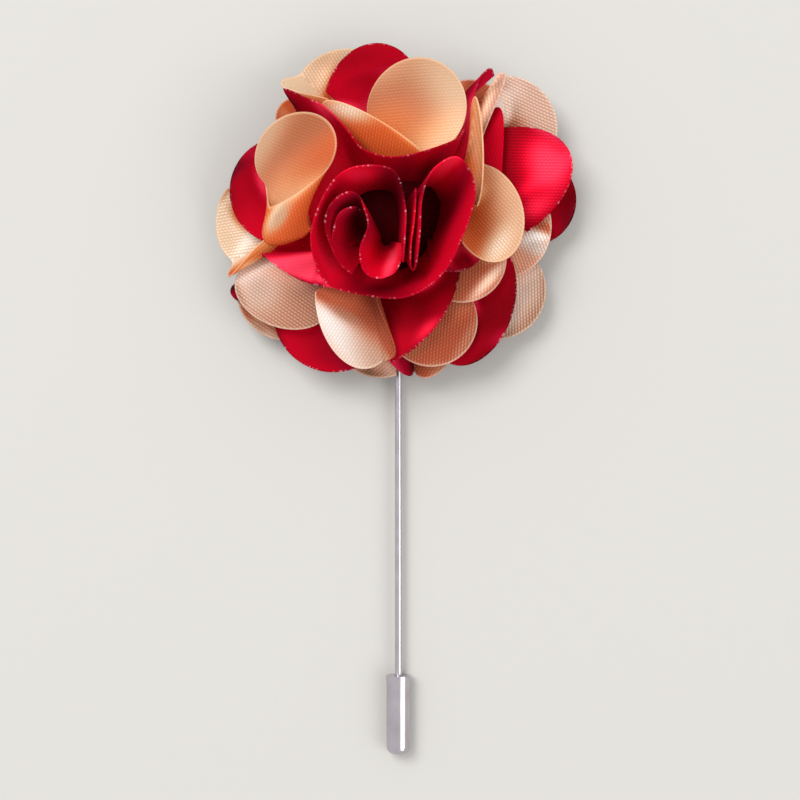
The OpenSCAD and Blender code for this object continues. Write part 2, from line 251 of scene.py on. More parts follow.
class Part(Enum):
    """Which part of a petal a patch lies on."""

    ALL = "all"
    LOBE = "lobe"
    LAP = "lap"


LOBE, LAP = Part.LOBE, Part.LAP

PATCH_SOFTNESS = 1.3
"""Power that squares off the fall of a patch's weight."""


@dataclass(frozen=True)
class Patch:
    """A soft oval where painted shading and glow run to others: a painted sheen, shade or glow."""

    x: float
    y: float
    long: float
    wide: float
    turn: float
    tone: float
    painted_glow: float
    part: Part = Part.ALL

    def blend(self, shade: Points, place: Points, on_lap: Points) -> Points:
        """Blend this patch into a petal's shades.

        Formula: weight exp(-((a/long)^2 + (b/wide)^2)^PATCH_SOFTNESS), where a and b run
        along and across the turned oval.

        Args:
            shade: painted shading and painted glow so far, as two layers.
            place: cloth points in millimetres.
            on_lap: 1 where the point is on the lap, 0 on the lobe.

        Returns:
            The new painted shading and painted glow.
        """
        angle = np.radians(self.turn)
        x, y = place[..., 0] - self.x, place[..., 1] - self.y
        a = (x * np.cos(angle) + y * np.sin(angle)) / self.long
        b = (y * np.cos(angle) - x * np.sin(angle)) / self.wide
        weight = np.exp(-((a**2 + b**2) ** PATCH_SOFTNESS))
        if self.part is Part.LOBE:
            weight = weight * (1 - on_lap)
        elif self.part is Part.LAP:
            weight = weight * on_lap
        target = np.array([self.tone, self.painted_glow])[:, None, None]
        return shade + (target - shade) * weight


@dataclass(frozen=True)
class ClothGrid:
    """A cloth's middle surface as a grid, with what its material needs at each point."""

    points: Points
    roots: Points
    shade: Points
    rim: Points
    ribs: Points
    weave: Points

    @property
    def area(self) -> float:
        """Area of the sheet in square metres."""
        along = np.diff(self.points, axis=0)[:, :-1]
        down = np.diff(self.points, axis=1)[:-1]
        return float(np.linalg.norm(np.cross(along, down), axis=-1).sum()) * MM**2

    @property
    def flat_size(self) -> tuple[float, float]:
        """Width and length of the flat cut, in metres.

        Formula: the lines of the cloth are laid out round one root, each at the angle that
        it makes with the one before, and the cut's outline is measured across and along
        the middle line. A cloth is never cut smaller than SMALLEST_CUT.
        """
        spokes = self.points[:, -1] - self.roots
        length = np.linalg.norm(spokes, axis=1)
        between = np.einsum("ij,ij->i", unit(spokes[1:]), unit(spokes[:-1]))
        turn = np.concatenate([[0], np.cumsum(np.arccos(np.clip(between, -1, 1)))])
        turn -= turn[-1] / 2
        inner = np.linalg.norm(self.points[:, 0] - self.roots, axis=1)
        radius, angle = np.concatenate([length, inner]), np.concatenate([turn, turn])
        across, along = np.ptp(radius * np.sin(angle)), np.ptp(radius * np.cos(angle))
        return max(float(across), SMALLEST_CUT) * MM, max(float(along), SMALLEST_CUT) * MM


def signed_volume(points: Points, quads: Points) -> float:
    """Volume inside closed quads: a sixth of the sum of their corner triple products.

    Args:
        points: vertices.
        quads: rows of four vertex numbers.

    Returns:
        The volume, negative where the faces point inwards.
    """
    total = 0.0
    for i, j, k in ((0, 1, 2), (0, 2, 3)):
        a, b, c = points[quads[:, i]], points[quads[:, j]], points[quads[:, k]]
        total += float(np.einsum("ij,ij->i", a, np.cross(b, c)).sum())
    return total / 6


def new_piece(name: str, points: Points, quads: Points) -> bpy.types.Object:
    """Make a smooth-shaded mesh object from whole arrays, its faces pointing outwards.

    Args:
        name: the object's name.
        points: vertices in millimetres.
        quads: rows of four vertex numbers.

    Returns:
        The new object, at the origin.
    """
    if signed_volume(points, quads) < 0:
        quads = quads[:, ::-1]
    mesh = bpy.data.meshes.new(name)
    mesh.vertices.add(len(points))
    mesh.vertices.foreach_set("co", (points * MM).astype(np.float32).ravel())
    mesh.loops.add(quads.size)
    mesh.loops.foreach_set("vertex_index", quads.astype(np.int32).ravel())
    mesh.polygons.add(len(quads))
    mesh.polygons.foreach_set("loop_start", np.arange(0, quads.size, 4, dtype=np.int32))
    mesh.update(calc_edges=True)
    mesh.validate()
    mesh.shade_smooth()
    piece = bpy.data.objects.new(name, mesh)
    bpy.context.scene.collection.objects.link(piece)
    return piece


def store_value(piece: bpy.types.Object, name: str, values: Points) -> None:
    """Keep one number for each vertex of a piece, for its material to read.

    Args:
        piece: the piece.
        name: the attribute's name.
        values: one number for each vertex.
    """
    layer = piece.data.attributes.new(name, "FLOAT", "POINT")
    layer.data.foreach_set("value", values.astype(np.float32).ravel())


def store_weave(piece: bpy.types.Object, weave: Points) -> None:
    """Keep the cloth's own coordinates, in millimetres, as the piece's UV map.

    Args:
        piece: the piece.
        weave: two numbers for each vertex, across and along the ribs.
    """
    corners = np.empty(len(piece.data.loops), np.int32)
    piece.data.loops.foreach_get("vertex_index", corners)
    layer = piece.data.uv_layers.new(name="weave")
    layer.uv.foreach_set("vector", weave[corners].astype(np.float32).ravel())


def sewn_sheet(
    name: str, grid: ClothGrid, thickness: float, round_steps: int = 4
) -> bpy.types.Object:
    """Make a closed thin sheet about a middle surface, its free edge rounded.

    Formula: each station across the cloth is a loop: down the face, round the edge on
    half a circle of the sheet's thickness, back up the reverse. The loops are joined along
    the edge and closed at both ends.

    Args:
        name: the piece's name.
        grid: the middle surface, rows from root to edge at each station.
        thickness: thickness in millimetres.
        round_steps: steps of the half circle.

    Returns:
        The new object with its painted shading and glow, rim, ribs and weave stored.
    """
    points = grid.points
    along = np.gradient(points, axis=0)
    down = np.gradient(points, axis=1)
    normal = unit(np.cross(along, down))
    half = thickness / 2
    turn = np.linspace(0, np.pi, round_steps + 1)[1:-1]
    outward = unit(points[:, -1] - points[:, -2])
    bead = points[:, -1, None, :] + half * (
        np.cos(turn)[None, :, None] * normal[:, -1, None, :]
        + np.sin(turn)[None, :, None] * outward[:, None, :]
    )
    face, reverse = points + half * normal, points - half * normal
    loops = np.concatenate([face, bead, reverse[:, ::-1]], axis=1)
    stations, around = loops.shape[:2]
    number = np.arange(stations * around).reshape(stations, around)
    following = np.roll(number, -1, axis=1)
    sides = np.stack([number[:-1], following[:-1], following[1:], number[1:]], axis=-1)
    down_face = np.arange(around // 2 - 1)
    up_reverse = around - 1 - down_face
    first, last = number[0], number[-1]
    start = [first[down_face], first[up_reverse], first[up_reverse - 1], first[down_face + 1]]
    end = [last[down_face], last[down_face + 1], last[up_reverse - 1], last[up_reverse]]
    quads = np.concatenate([sides.reshape(-1, 4), np.stack(start, axis=-1), np.stack(end, axis=-1)])
    piece = new_piece(name, loops.reshape(-1, 3), quads)

    def round_the_loop(values: Points) -> Points:
        """Give face, bead and reverse the values of the middle surface."""
        edge = np.repeat(values[:, -1:], round_steps - 1, axis=1)
        return np.concatenate([values, edge, values[:, ::-1]], axis=1)

    # painted light: the painted shading from lit to shaded, and the painted glow
    store_value(piece, "tone", round_the_loop(grid.shade[0]))
    store_value(piece, "painted_glow", round_the_loop(grid.shade[1]))
    store_value(piece, "rim", round_the_loop(grid.rim))
    store_value(piece, "ribs", round_the_loop(grid.ribs))
    store_weave(piece, round_the_loop(grid.weave).reshape(-1, 2))
    return piece


class Satin(Enum):
    """The satins the discs are cut from; warm and cool are one champagne, painted in two lights."""

    WARM = "warm_champagne"
    COOL = "cool_champagne"
    RED = "red"


@dataclass(frozen=True)
class Weave:
    """The ribs and threads that every satin shares; lengths are in millimetres of cloth."""

    rib_pitch: float = 0.37
    thread_pitch: float = 0.44
    thread_tone: float = 0.13
    dash_share: float = 0.35
    drift_scale: float = 0.25
    drift_share: float = 0.5
    grain_scale: tuple[float, float, float] = (7.0, 2.5, 1.0)
    grain_height: float = 0.6
    height_in_metres: float = 0.00002
    strength: float = 0.6


@dataclass(frozen=True)
class LooseThreads:
    """The specks of loose thread on a rim: fine noise that a slower noise gathers into runs."""

    speck_scale: tuple[float, float, float] = (3.1, 5.0, 1.0)
    speck_detail: float = 4.0
    speck_from: float = 0.5
    run_scale: tuple[float, float, float] = (0.6, 0.6, 1.0)
    run_detail: float = 2.0
    run_from: float = 0.48
    sharpness: float = 8.0


WEAVE = Weave()
LOOSE_THREADS = LooseThreads()
Ramp = tuple[tuple[float, float, float, float], ...]
Socket = bpy.types.NodeSocket


@dataclass(frozen=True)
class SatinFinish:
    """A satin: its colours painted from lit to shaded, its sealed rim, and its ribs.

    Each ramp holds rows of a painted shading from 0, lit, to 1, shaded, and the screen colour
    there: one for plain cloth, one for cloth with a painted glow of light from the cloth round it.
    """

    name: str
    slot: str
    plain: Ramp
    glowing: Ramp
    rim_colour: tuple[float, float, float]
    rim_width: float
    rim_share: float
    rim_speckle: float
    rim_tone: float
    rib_tone: float
    roughness: float
    gloss: float

    def material(self, groups: "ShaderGroups") -> bpy.types.Material:
        """Build the satin's material.

        Args:
            groups: the shared shader groups.

        Returns:
            The material.
        """
        kit = Nodes(self.name)
        weave = kit.add("ShaderNodeUVMap")
        weave.uv_map = "weave"
        ribs = kit.group(
            groups.ribs, Weave=weave.outputs[0], Pitch=WEAVE.rib_pitch, Thread=WEAVE.thread_pitch
        )
        # tone is painted shading, from 0, lit, to 1, shaded
        tone, depth, rim = kit.attribute("tone"), kit.attribute("ribs"), kit.attribute("rim")
        ridge, grain = ribs.outputs["Ridge"], ribs.outputs["Grain"]
        # the ribs' colour wave: the weave's pattern, partly painted glints, as strong as the depth
        wave = kit.math("MULTIPLY", kit.math("SUBTRACT", ridge, 0.5), depth)
        wave = kit.math("MULTIPLY", wave, self.rib_tone)
        threads = kit.math("MULTIPLY", kit.math("SUBTRACT", grain, 0.5), WEAVE.thread_tone)
        line = kit.group(
            groups.rim,
            Distance=rim,
            Width=self.rim_width,
            Weave=weave.outputs[0],
            Speckle=self.rim_speckle,
        )
        level = kit.math("ADD", kit.math("SUBTRACT", tone, wave), threads)
        level = kit.math("ADD", level, kit.math("MULTIPLY", line.outputs["Near"], self.rim_tone))
        # painted light: the ramps hold lit to shaded colours, and the painted glow mixes the two
        plain, glowing = kit.ramp(level, self.plain), kit.ramp(level, self.glowing)
        cloth = kit.mix_colour(kit.attribute("painted_glow"), plain, glowing)
        share = kit.math("MULTIPLY", line.outputs["Line"], self.rim_share)
        colour = kit.mix_colour(share, cloth, linear(*self.rim_colour))
        height = kit.math("ADD", ridge, kit.math("MULTIPLY", grain, WEAVE.grain_height))
        relief = kit.relief(height, WEAVE.height_in_metres, WEAVE.strength)
        kit.link(colour, kit.shader, "Base Color")
        kit.link(relief, kit.shader, "Normal")
        kit.set_shader({"Roughness": self.roughness, "Specular IOR Level": self.gloss})
        return kit.material


class Nodes:
    """A material, or a shader group, being wired."""

    def __init__(self, name: str) -> None:
        """Start a material that has a shader and an output.

        Args:
            name: the material's name.
        """
        self.material = bpy.data.materials.new(name)
        self.material.use_nodes = True
        self.tree = self.material.node_tree
        self.tree.nodes.clear()
        self.shader = self.add("ShaderNodeBsdfPrincipled")
        output = self.add("ShaderNodeOutputMaterial")
        self.tree.links.new(self.shader.outputs[0], output.inputs["Surface"])

    def add(self, kind: str) -> bpy.types.Node:
        """Add a node of a kind."""
        return self.tree.nodes.new(kind)

    def link(self, source: Socket, node: bpy.types.Node, socket: str) -> None:
        """Join an output to a node's named input."""
        self.tree.links.new(source, node.inputs[socket])

    def feed(self, socket: Socket, value: Socket | float | tuple[float, ...]) -> None:
        """Join an output to an input, or set the input's value."""
        if isinstance(value, Socket):
            self.tree.links.new(value, socket)
        else:
            socket.default_value = value

    def group(self, tree: bpy.types.NodeTree, **inputs: object) -> bpy.types.Node:
        """Add a shared group with its inputs fed.

        Args:
            tree: the group.
            inputs: an output or a value for each named input.

        Returns:
            The group's node.
        """
        node = self.add("ShaderNodeGroup")
        node.node_tree = tree
        for name, value in inputs.items():
            self.feed(node.inputs[name], value)
        return node

    def attribute(self, name: str) -> Socket:
        """Return the number stored at each point of the cloth under a name."""
        node = self.add("ShaderNodeAttribute")
        node.attribute_name = name
        return node.outputs["Fac"]

    def math(self, operation: str, *values: object, clamp: bool = False) -> Socket:
        """Return the result of a Math node.

        Args:
            operation: the node's operation.
            values: an output or a number for each input.
            clamp: whether the result is held to 0..1.

        Returns:
            The result.
        """
        node = self.add("ShaderNodeMath")
        node.operation = operation
        node.use_clamp = clamp
        for socket, value in zip(node.inputs, values):
            self.feed(socket, value)
        return node.outputs[0]

    def noise(self, vector: Socket, scale: float, detail: float) -> Socket:
        """Return a noise value over a vector."""
        node = self.add("ShaderNodeTexNoise")
        node.inputs["Scale"].default_value = scale
        node.inputs["Detail"].default_value = detail
        self.link(vector, node, "Vector")
        return node.outputs["Fac"]

    def relief(self, height: Socket, distance: float, strength: float = 1.0) -> Socket:
        """Return the normal that a height gives.

        Args:
            height: the height, from 0 to 1.
            distance: how much a height of 1 is, in metres.
            strength: how strongly it shows.

        Returns:
            The normal.
        """
        node = self.add("ShaderNodeBump")
        node.inputs["Distance"].default_value = distance
        node.inputs["Strength"].default_value = strength
        self.link(height, node, "Height")
        return node.outputs["Normal"]

    def set_shader(self, values: dict[str, float]) -> None:
        """Set plain numbers on the shader's own inputs."""
        for name, value in values.items():
            self.shader.inputs[name].default_value = value

    def stretch(self, vector: Socket, scale: tuple[float, float, float]) -> Socket:
        """Return a vector multiplied axis by axis."""
        node = self.add("ShaderNodeVectorMath")
        node.operation = "MULTIPLY"
        node.inputs[1].default_value = scale
        self.tree.links.new(vector, node.inputs[0])
        return node.outputs[0]

    def ramp(self, value: Socket, rows: Ramp) -> Socket:
        """Return the colour of a ramp at a value.

        Args:
            value: what the ramp reads.
            rows: a place from 0 to 1 and a screen colour, for each stop.

        Returns:
            The colour.
        """
        node = self.add("ShaderNodeValToRGB")
        stops = node.color_ramp.elements
        while len(stops) < len(rows):
            stops.new(1.0)
        for stop, (place, *screen) in zip(stops, rows):
            stop.position = place
            stop.color = linear(*screen)
        self.tree.links.new(value, node.inputs["Fac"])
        return node.outputs["Color"]

    def mix_colour(self, share: Socket, first: Socket, second: Socket | tuple) -> Socket:
        """Return a mix of two colours by a share from 0 to 1."""
        node = self.add("ShaderNodeMix")
        node.data_type = "RGBA"
        for socket, value in zip((node.inputs[0], *node.inputs[6:8]), (share, first, second)):
            self.feed(socket, value)
        return node.outputs[2]


class GroupNodes(Nodes):
    """A shared shader group being wired."""

    def __init__(self, name: str, inputs: dict[str, str], outputs: list[str]) -> None:
        """Start a group.

        Args:
            name: the group's name.
            inputs: socket kind by input name.
            outputs: names of the number outputs.
        """
        self.tree = bpy.data.node_groups.new(name, "ShaderNodeTree")
        for socket, kind in inputs.items():
            self.tree.interface.new_socket(socket, in_out="INPUT", socket_type=kind)
        for socket in outputs:
            self.tree.interface.new_socket(socket, in_out="OUTPUT", socket_type="NodeSocketFloat")
        self.given = self.add("NodeGroupInput").outputs
        self.result = self.add("NodeGroupOutput")

    def give(self, name: str, value: Socket) -> None:
        """Join a value to one of the group's outputs."""
        self.tree.links.new(value, self.result.inputs[name])


@dataclass(frozen=True)
class ShaderGroups:
    """The shader groups that the materials share."""

    ribs: bpy.types.NodeTree
    rim: bpy.types.NodeTree
    fuzz: bpy.types.NodeTree

    @staticmethod
    def build() -> "ShaderGroups":
        """Build every shared group once."""
        return ShaderGroups(ribs_group(), rim_group(), fuzz_group())


def ribs_group() -> bpy.types.NodeTree:
    """Build the group of a satin's ribs.

    Formula: Ridge is half of 1 + sin(2 pi (across / pitch + a slow drift)), and every rib is
    broken into dashes of the thread's length, each row half a dash on from the last, as
    bricks are laid. Grain is noise stretched along the ribs.
    """
    kit = GroupNodes(
        "satin_ribs",
        {"Weave": "NodeSocketVector", "Pitch": "NodeSocketFloat", "Thread": "NodeSocketFloat"},
        ["Ridge", "Grain"],
    )
    weave = kit.given["Weave"]
    apart = kit.add("ShaderNodeSeparateXYZ")
    kit.feed(apart.inputs[0], weave)
    drift = kit.math("MULTIPLY", kit.noise(weave, WEAVE.drift_scale, 1.0), WEAVE.drift_share)
    across = kit.math("ADD", kit.math("DIVIDE", apart.outputs[0], kit.given["Pitch"]), drift)
    wave = kit.math("SINE", kit.math("MULTIPLY", across, 2 * np.pi))
    row = kit.math("FLOOR", kit.math("ADD", across, 0.25))
    along = kit.math("DIVIDE", apart.outputs[1], kit.given["Thread"])
    brick = kit.math("ADD", kit.math("ADD", along, drift), kit.math("MULTIPLY", row, 0.5))
    cross = kit.math("SINE", kit.math("MULTIPLY", brick, 2 * np.pi))
    dashes = kit.math("MULTIPLY", cross, WEAVE.dash_share)
    dotted = kit.math("ADD", dashes, kit.math("MULTIPLY", wave, 1 - WEAVE.dash_share))
    kit.give("Ridge", kit.math("ADD", kit.math("MULTIPLY", dotted, 0.5), 0.5, clamp=True))
    kit.give("Grain", kit.noise(kit.stretch(weave, WEAVE.grain_scale), 1.0, 3.0))
    return kit.tree


def rim_group() -> bpy.types.NodeTree:
    """Build the group of the sealed rim of a disc.

    Formula: Near falls from 1 at the edge to 0 at the width. Line is Near with Speckle of it
    broken up by fine noise, which a slower noise gathers into runs.
    """
    kit = GroupNodes(
        "sealed_rim",
        {
            "Distance": "NodeSocketFloat",
            "Width": "NodeSocketFloat",
            "Weave": "NodeSocketVector",
            "Speckle": "NodeSocketFloat",
        },
        ["Near", "Line"],
    )
    weave, speckle = kit.given["Weave"], kit.given["Speckle"]
    inwards = kit.math("DIVIDE", kit.given["Distance"], kit.given["Width"])
    near = kit.math("SUBTRACT", 1.0, inwards, clamp=True)
    loose = LOOSE_THREADS

    def patches(scale: tuple[float, float, float], detail: float, start: float) -> Socket:
        """Return noise cut off below a start and made sharp above it."""
        noise = kit.noise(kit.stretch(weave, scale), 1.0, detail)
        above = kit.math("SUBTRACT", noise, start)
        return kit.math("MULTIPLY", above, loose.sharpness, clamp=True)

    specks = patches(loose.speck_scale, loose.speck_detail, loose.speck_from)
    runs = patches(loose.run_scale, loose.run_detail, loose.run_from)
    broken = kit.math("MULTIPLY", kit.math("MULTIPLY", specks, runs), speckle)
    share = kit.math("ADD", kit.math("SUBTRACT", 1.0, speckle), broken)
    kit.give("Near", near)
    kit.give("Line", kit.math("MULTIPLY", near, share))
    return kit.tree


FIBRES, UNEVENNESS = (3200.0, 4.0), (260.0, 2.0)
"""Scale and detail of felt's two noises."""


def fuzz_group() -> bpy.types.NodeTree:
    """Build the group of felt: fine fibres over a slow unevenness, from object coordinates."""
    kit = GroupNodes("felt_fibres", {"Place": "NodeSocketVector"}, ["Fibre", "Patchy"])
    place = kit.given["Place"]
    kit.give("Fibre", kit.noise(place, *FIBRES))
    kit.give("Patchy", kit.noise(place, *UNEVENNESS))
    return kit.tree


@dataclass(frozen=True)
class FeltFinish:
    """Matt black felt."""

    name: str = "black_felt"
    dark: tuple[float, float, float] = (22, 22, 24)
    pale: tuple[float, float, float] = (64, 63, 66)
    dark_below: float = 0.36
    pale_above: float = 0.66
    fibre_share: float = 0.7
    fibre_height: float = 0.0002
    roughness: float = 0.95
    gloss: float = 0.15
    sheen: float = 0.25

    def material(self, groups: ShaderGroups) -> bpy.types.Material:
        """Build the felt's material.

        Args:
            groups: the shared shader groups.

        Returns:
            The material.
        """
        kit = Nodes(self.name)
        place = kit.add("ShaderNodeTexCoord").outputs["Object"]
        fuzz = kit.group(groups.fuzz, Place=place).outputs
        fibres = kit.math("MULTIPLY", fuzz["Fibre"], self.fibre_share)
        mixed = kit.math("ADD", fibres, kit.math("MULTIPLY", fuzz["Patchy"], 1 - self.fibre_share))
        stops = ((self.dark_below, *self.dark), (self.pale_above, *self.pale))
        kit.link(kit.ramp(mixed, stops), kit.shader, "Base Color")
        kit.link(kit.relief(fuzz["Fibre"], self.fibre_height), kit.shader, "Normal")
        kit.set_shader(
            {
                "Roughness": self.roughness,
                "Specular IOR Level": self.gloss,
                "Sheen Weight": self.sheen,
            }
        )
        return kit.material


@dataclass(frozen=True)
class NickelFinish:
    """Polished nickel plate with faint draw lines along the needle."""

    name: str = "nickel_plate"
    colour: tuple[float, float, float] = (196, 190, 196)
    dulled: float = 0.93
    smoothest: float = 0.12
    roughest: float = 0.26
    draw_lines: tuple[float, float, float] = (9000.0, 260.0, 9000.0)
    line_height: float = 0.000004
    line_strength: float = 0.25
    cloud_scale: float = 420.0

    def material(self) -> bpy.types.Material:
        """Build the metal's material."""
        kit = Nodes(self.name)
        place = kit.add("ShaderNodeTexCoord").outputs["Object"]
        drawn = kit.noise(kit.stretch(place, self.draw_lines), 1.0, 3.0)
        cloudy = kit.noise(place, self.cloud_scale, 2.0)
        range_each = (self.roughest - self.smoothest) / 2
        wear = kit.math("MULTIPLY", kit.math("ADD", drawn, cloudy), range_each)
        dull = [channel * self.dulled for channel in self.colour]
        kit.link(kit.ramp(cloudy, ((0.3, *dull), (0.7, *self.colour))), kit.shader, "Base Color")
        kit.link(kit.math("ADD", wear, self.smoothest), kit.shader, "Roughness")
        kit.link(kit.relief(drawn, self.line_height, self.line_strength), kit.shader, "Normal")
        kit.set_shader({"Metallic": 1.0})
        return kit.material


SATINS = {
    Satin.WARM: SatinFinish(
        name="satin_champagne_warm",
        slot="satin_champagne",
        plain=(
            (0, 240, 230, 212), (0.2, 209, 182, 154), (0.4, 192, 157, 127),
            (0.6, 177, 137, 107), (0.8, 164, 112, 82), (1, 146, 88, 58),
        ),
        glowing=(
            (0, 255, 200, 150), (0.2, 241, 168, 112), (0.4, 225, 141, 85),
            (0.6, 209, 111, 56), (0.8, 194, 84, 38), (1, 168, 66, 30),
        ),
        rim_colour=(224, 186, 148),
        rim_width=0.2,
        rim_share=0.6,
        rim_speckle=0.3,
        rim_tone=0.0,
        rib_tone=0.12,
        roughness=0.55,
        gloss=0.06,
    ),
    Satin.COOL: SatinFinish(
        name="satin_champagne_cool",
        slot="satin_champagne",
        plain=(
            (0, 255, 240, 230), (0.2, 212, 203, 196), (0.4, 193, 171, 157),
            (0.6, 174, 142, 122), (0.8, 150, 106, 83), (1, 112, 76, 56),
        ),
        glowing=(
            (0, 255, 214, 172), (0.2, 242, 178, 144), (0.4, 218, 146, 116),
            (0.6, 193, 120, 89), (0.8, 176, 86, 56), (1, 140, 62, 40),
        ),
        rim_colour=(224, 198, 176),
        rim_width=0.2,
        rim_share=0.55,
        rim_speckle=0.3,
        rim_tone=0.0,
        rib_tone=0.16,
        roughness=0.55,
        gloss=0.06,
    ),
    Satin.RED: SatinFinish(
        name="satin_red",
        slot="satin_red",
        plain=(
            (0, 244, 68, 96), (0.2, 222, 46, 74), (0.4, 192, 26, 57),
            (0.6, 156, 8, 38), (0.8, 126, 5, 28), (1, 54, 3, 10),
        ),
        glowing=(
            (0, 255, 26, 62), (0.2, 234, 5, 40), (0.4, 186, 2, 30),
            (0.6, 154, 1, 21), (0.8, 124, 1, 13), (1, 40, 0, 3),
        ),
        rim_colour=(224, 150, 168),
        rim_width=0.14,
        rim_share=0.7,
        rim_speckle=1.0,
        rim_tone=0.1,
        rib_tone=0.1,
        roughness=0.5,
        gloss=0.015,
    ),
}


@dataclass(frozen=True)
class Finishes:
    """Every finished material, made once."""

    satins: dict[Satin, bpy.types.Material]
    felt: bpy.types.Material
    nickel: bpy.types.Material

    @staticmethod
    def build() -> "Finishes":
        """Build the materials on their shared groups."""
        groups = ShaderGroups.build()
        satins = {kind: finish.material(groups) for kind, finish in SATINS.items()}
        return Finishes(satins, FeltFinish().material(groups), NickelFinish().material())


LOBE_STEPS, INTO_TIP, OUT_OF_TIP = 56, 16, 32
"""Steps of a disc's edge: round its lobe, on to the fold tip, and from there along its lap."""

ROOT_ROWS = 18
"""Even rows of a cloth, from its root to its rim."""

RIM_ROWS = (0.7, 0.45, 0.28, 0.14, 0.0)
"""Distances of the close rows from the edge, in millimetres."""

CLOTH = 0.2
"""Thickness of the satin, in millimetres."""

"""The least share of its flat cut's box that a cloth is said to fill."""


@dataclass(frozen=True)
class Core:
    """The space of the gathered roots: half an ellipsoid, in millimetres."""

    radius: float = 9.0
    height: float = 6.6
    base: float = 2.7
    clear: float = 0.35

    def level(self, place: Points) -> Points:
        """Return less than 1 where a point lies inside the core or its clear space."""
        wide, tall = self.radius + self.clear, self.height + self.clear
        flat = (place[..., 0] ** 2 + place[..., 1] ** 2) / wide**2
        return flat + ((place[..., 2] - self.base) / tall) ** 2


CORE = Core()


def cloth_lines(roots: Points, edge: Points, arch: Points, along: Points) -> Points:
    """Points of the cloth on lines from the roots to the edge.

    Formula: root + v (edge - root) + 4 v (1 - v) arch.

    Args:
        roots: a root for each line.
        edge: the end of each line.
        arch: how far the middle of each line stands off the straight one.
        along: the fraction v of each point, a row for each line.

    Returns:
        The points, lines by points by three.
    """
    v = along[..., None]
    return roots[:, None] + v * (edge - roots)[:, None] + 4 * v * (1 - v) * arch[:, None]


def leave_core(roots: Points, edge: Points, arch: Points, halvings: int = 12) -> Points:
    """Fraction of each line at which the cloth leaves the gather of roots.

    Formula: bisection on the core's level.

    Args:
        roots: a root for each line.
        edge: the end of each line.
        arch: the arch of the lines.
        halvings: steps of the bisection.

    Returns:
        One fraction for each line.
    """
    low, high = np.zeros(len(edge)), np.ones(len(edge))
    for _ in range(halvings):
        middle = (low + high) / 2
        inside = CORE.level(cloth_lines(roots, edge, arch, middle[:, None])[:, 0]) < 1
        low, high = np.where(inside, middle, low), np.where(inside, high, middle)
    return high


def rows_to_edge(start: Points, length: Points) -> tuple[Points, Points]:
    """Fractions of the rows of each line: even ones, then close ones along the rim.

    Args:
        start: fraction at which each line starts.
        length: each line's length in millimetres.

    Returns:
        The fractions, and each row's distance from the edge in millimetres.
    """
    rim = np.array(RIM_ROWS)
    first = 1 - rim[0] / length
    evenly = np.linspace(0, 1, ROOT_ROWS, endpoint=False)
    even = start[:, None] + (first - start)[:, None] * evenly
    close = 1 - rim / length[:, None]
    fractions = np.concatenate([even, close], axis=1)
    return fractions, (1 - fractions) * length[:, None]


@dataclass(frozen=True)
class Petal:
    """A folded satin disc of the flower: a lobe, and where it is folded over, a lap."""

    name: str
    satin: Satin
    lobe: Lobe
    root: Root
    shade: Shade
    lap: Lap | None = None
    lap_shade: Shade | None = None
    climb: float = 0.0
    arches: tuple[tuple[float, float, float], ...] = ()
    lap_rim: float = 0.0
    patches: tuple[Patch, ...] = ()

    def grid(self) -> ClothGrid:
        """Work out the petal's middle surface and what its material reads.

        Formula: the free edge is the lobe's arc and then the lap; a line runs to each of
        its points from the root, which climbs while the edge goes round the fold tip.
        Where arches are given, the lines' arch runs evenly through them at the lobe's
        start, the lobe's end, the fold tip and the lap's end. lap_rim millimetres are added
        to what the material takes for the distance from the lap's rim.

        Returns:
            The petal's grid.
        """
        edge = self.lobe.edge(LOBE_STEPS)
        if self.lap:
            edge = np.vstack([edge, self.lap.edge(edge, INTO_TIP, OUT_OF_TIP)])
        past = np.arange(len(edge)) - LOBE_STEPS
        lapped = ease(np.clip(past / (INTO_TIP + OUT_OF_TIP / 3), 0, 1))
        root = np.array([self.root.x, self.root.y, self.root.z])
        roots = root + lapped[:, None] * np.array([0, 0, self.climb])
        folded = ease(np.clip(past / INTO_TIP, 0, 1))[:, None]
        arch = np.array(self.root.arch) + 0 * edge
        if self.arches:
            places = (-LOBE_STEPS, 0, INTO_TIP, INTO_TIP + OUT_OF_TIP)
            arch = np.stack([np.interp(past, places, axis) for axis in zip(*self.arches)], axis=1)
        length = np.linalg.norm(edge - roots, axis=1)
        start = np.maximum(leave_core(roots, edge, arch), self.root.cut)
        along, rim = rows_to_edge(start, length)
        points = cloth_lines(roots, edge, arch, along)
        on_lap = folded + 0 * rim
        lobe_shade, lap_shade = self.shade, self.lap_shade or self.shade
        shade = lobe_shade.layers + (lap_shade.layers - lobe_shade.layers) * on_lap
        for patch in self.patches:
            shade = patch.blend(shade, points, on_lap)
        share = on_lap[..., None]
        on_lobe, lapped_over = turned(points, lobe_shade.ribs), turned(points, lap_shade.ribs)
        weave = on_lobe * (1 - share) + lapped_over * share
        depth = lobe_shade.depth + (lap_shade.depth - lobe_shade.depth) * on_lap
        return ClothGrid(points, roots, shade, rim + self.lap_rim * on_lap, depth, weave)

    def build(self, finishes: Finishes) -> bpy.types.Object:
        """Args:
            finishes: the materials.

        Returns:
            The petal.
        """
        return finished_cloth(self.name, self.grid(), self.satin, finishes)


def turned(points: Points, degrees: float) -> Points:
    """Cloth coordinates across and along ribs that run at an angle over the flower."""
    cos, sin = np.cos(np.radians(degrees)), np.sin(np.radians(degrees))
    x, y = points[..., 0], points[..., 1]
    return np.stack([y * cos - x * sin, x * cos + y * sin], axis=-1)


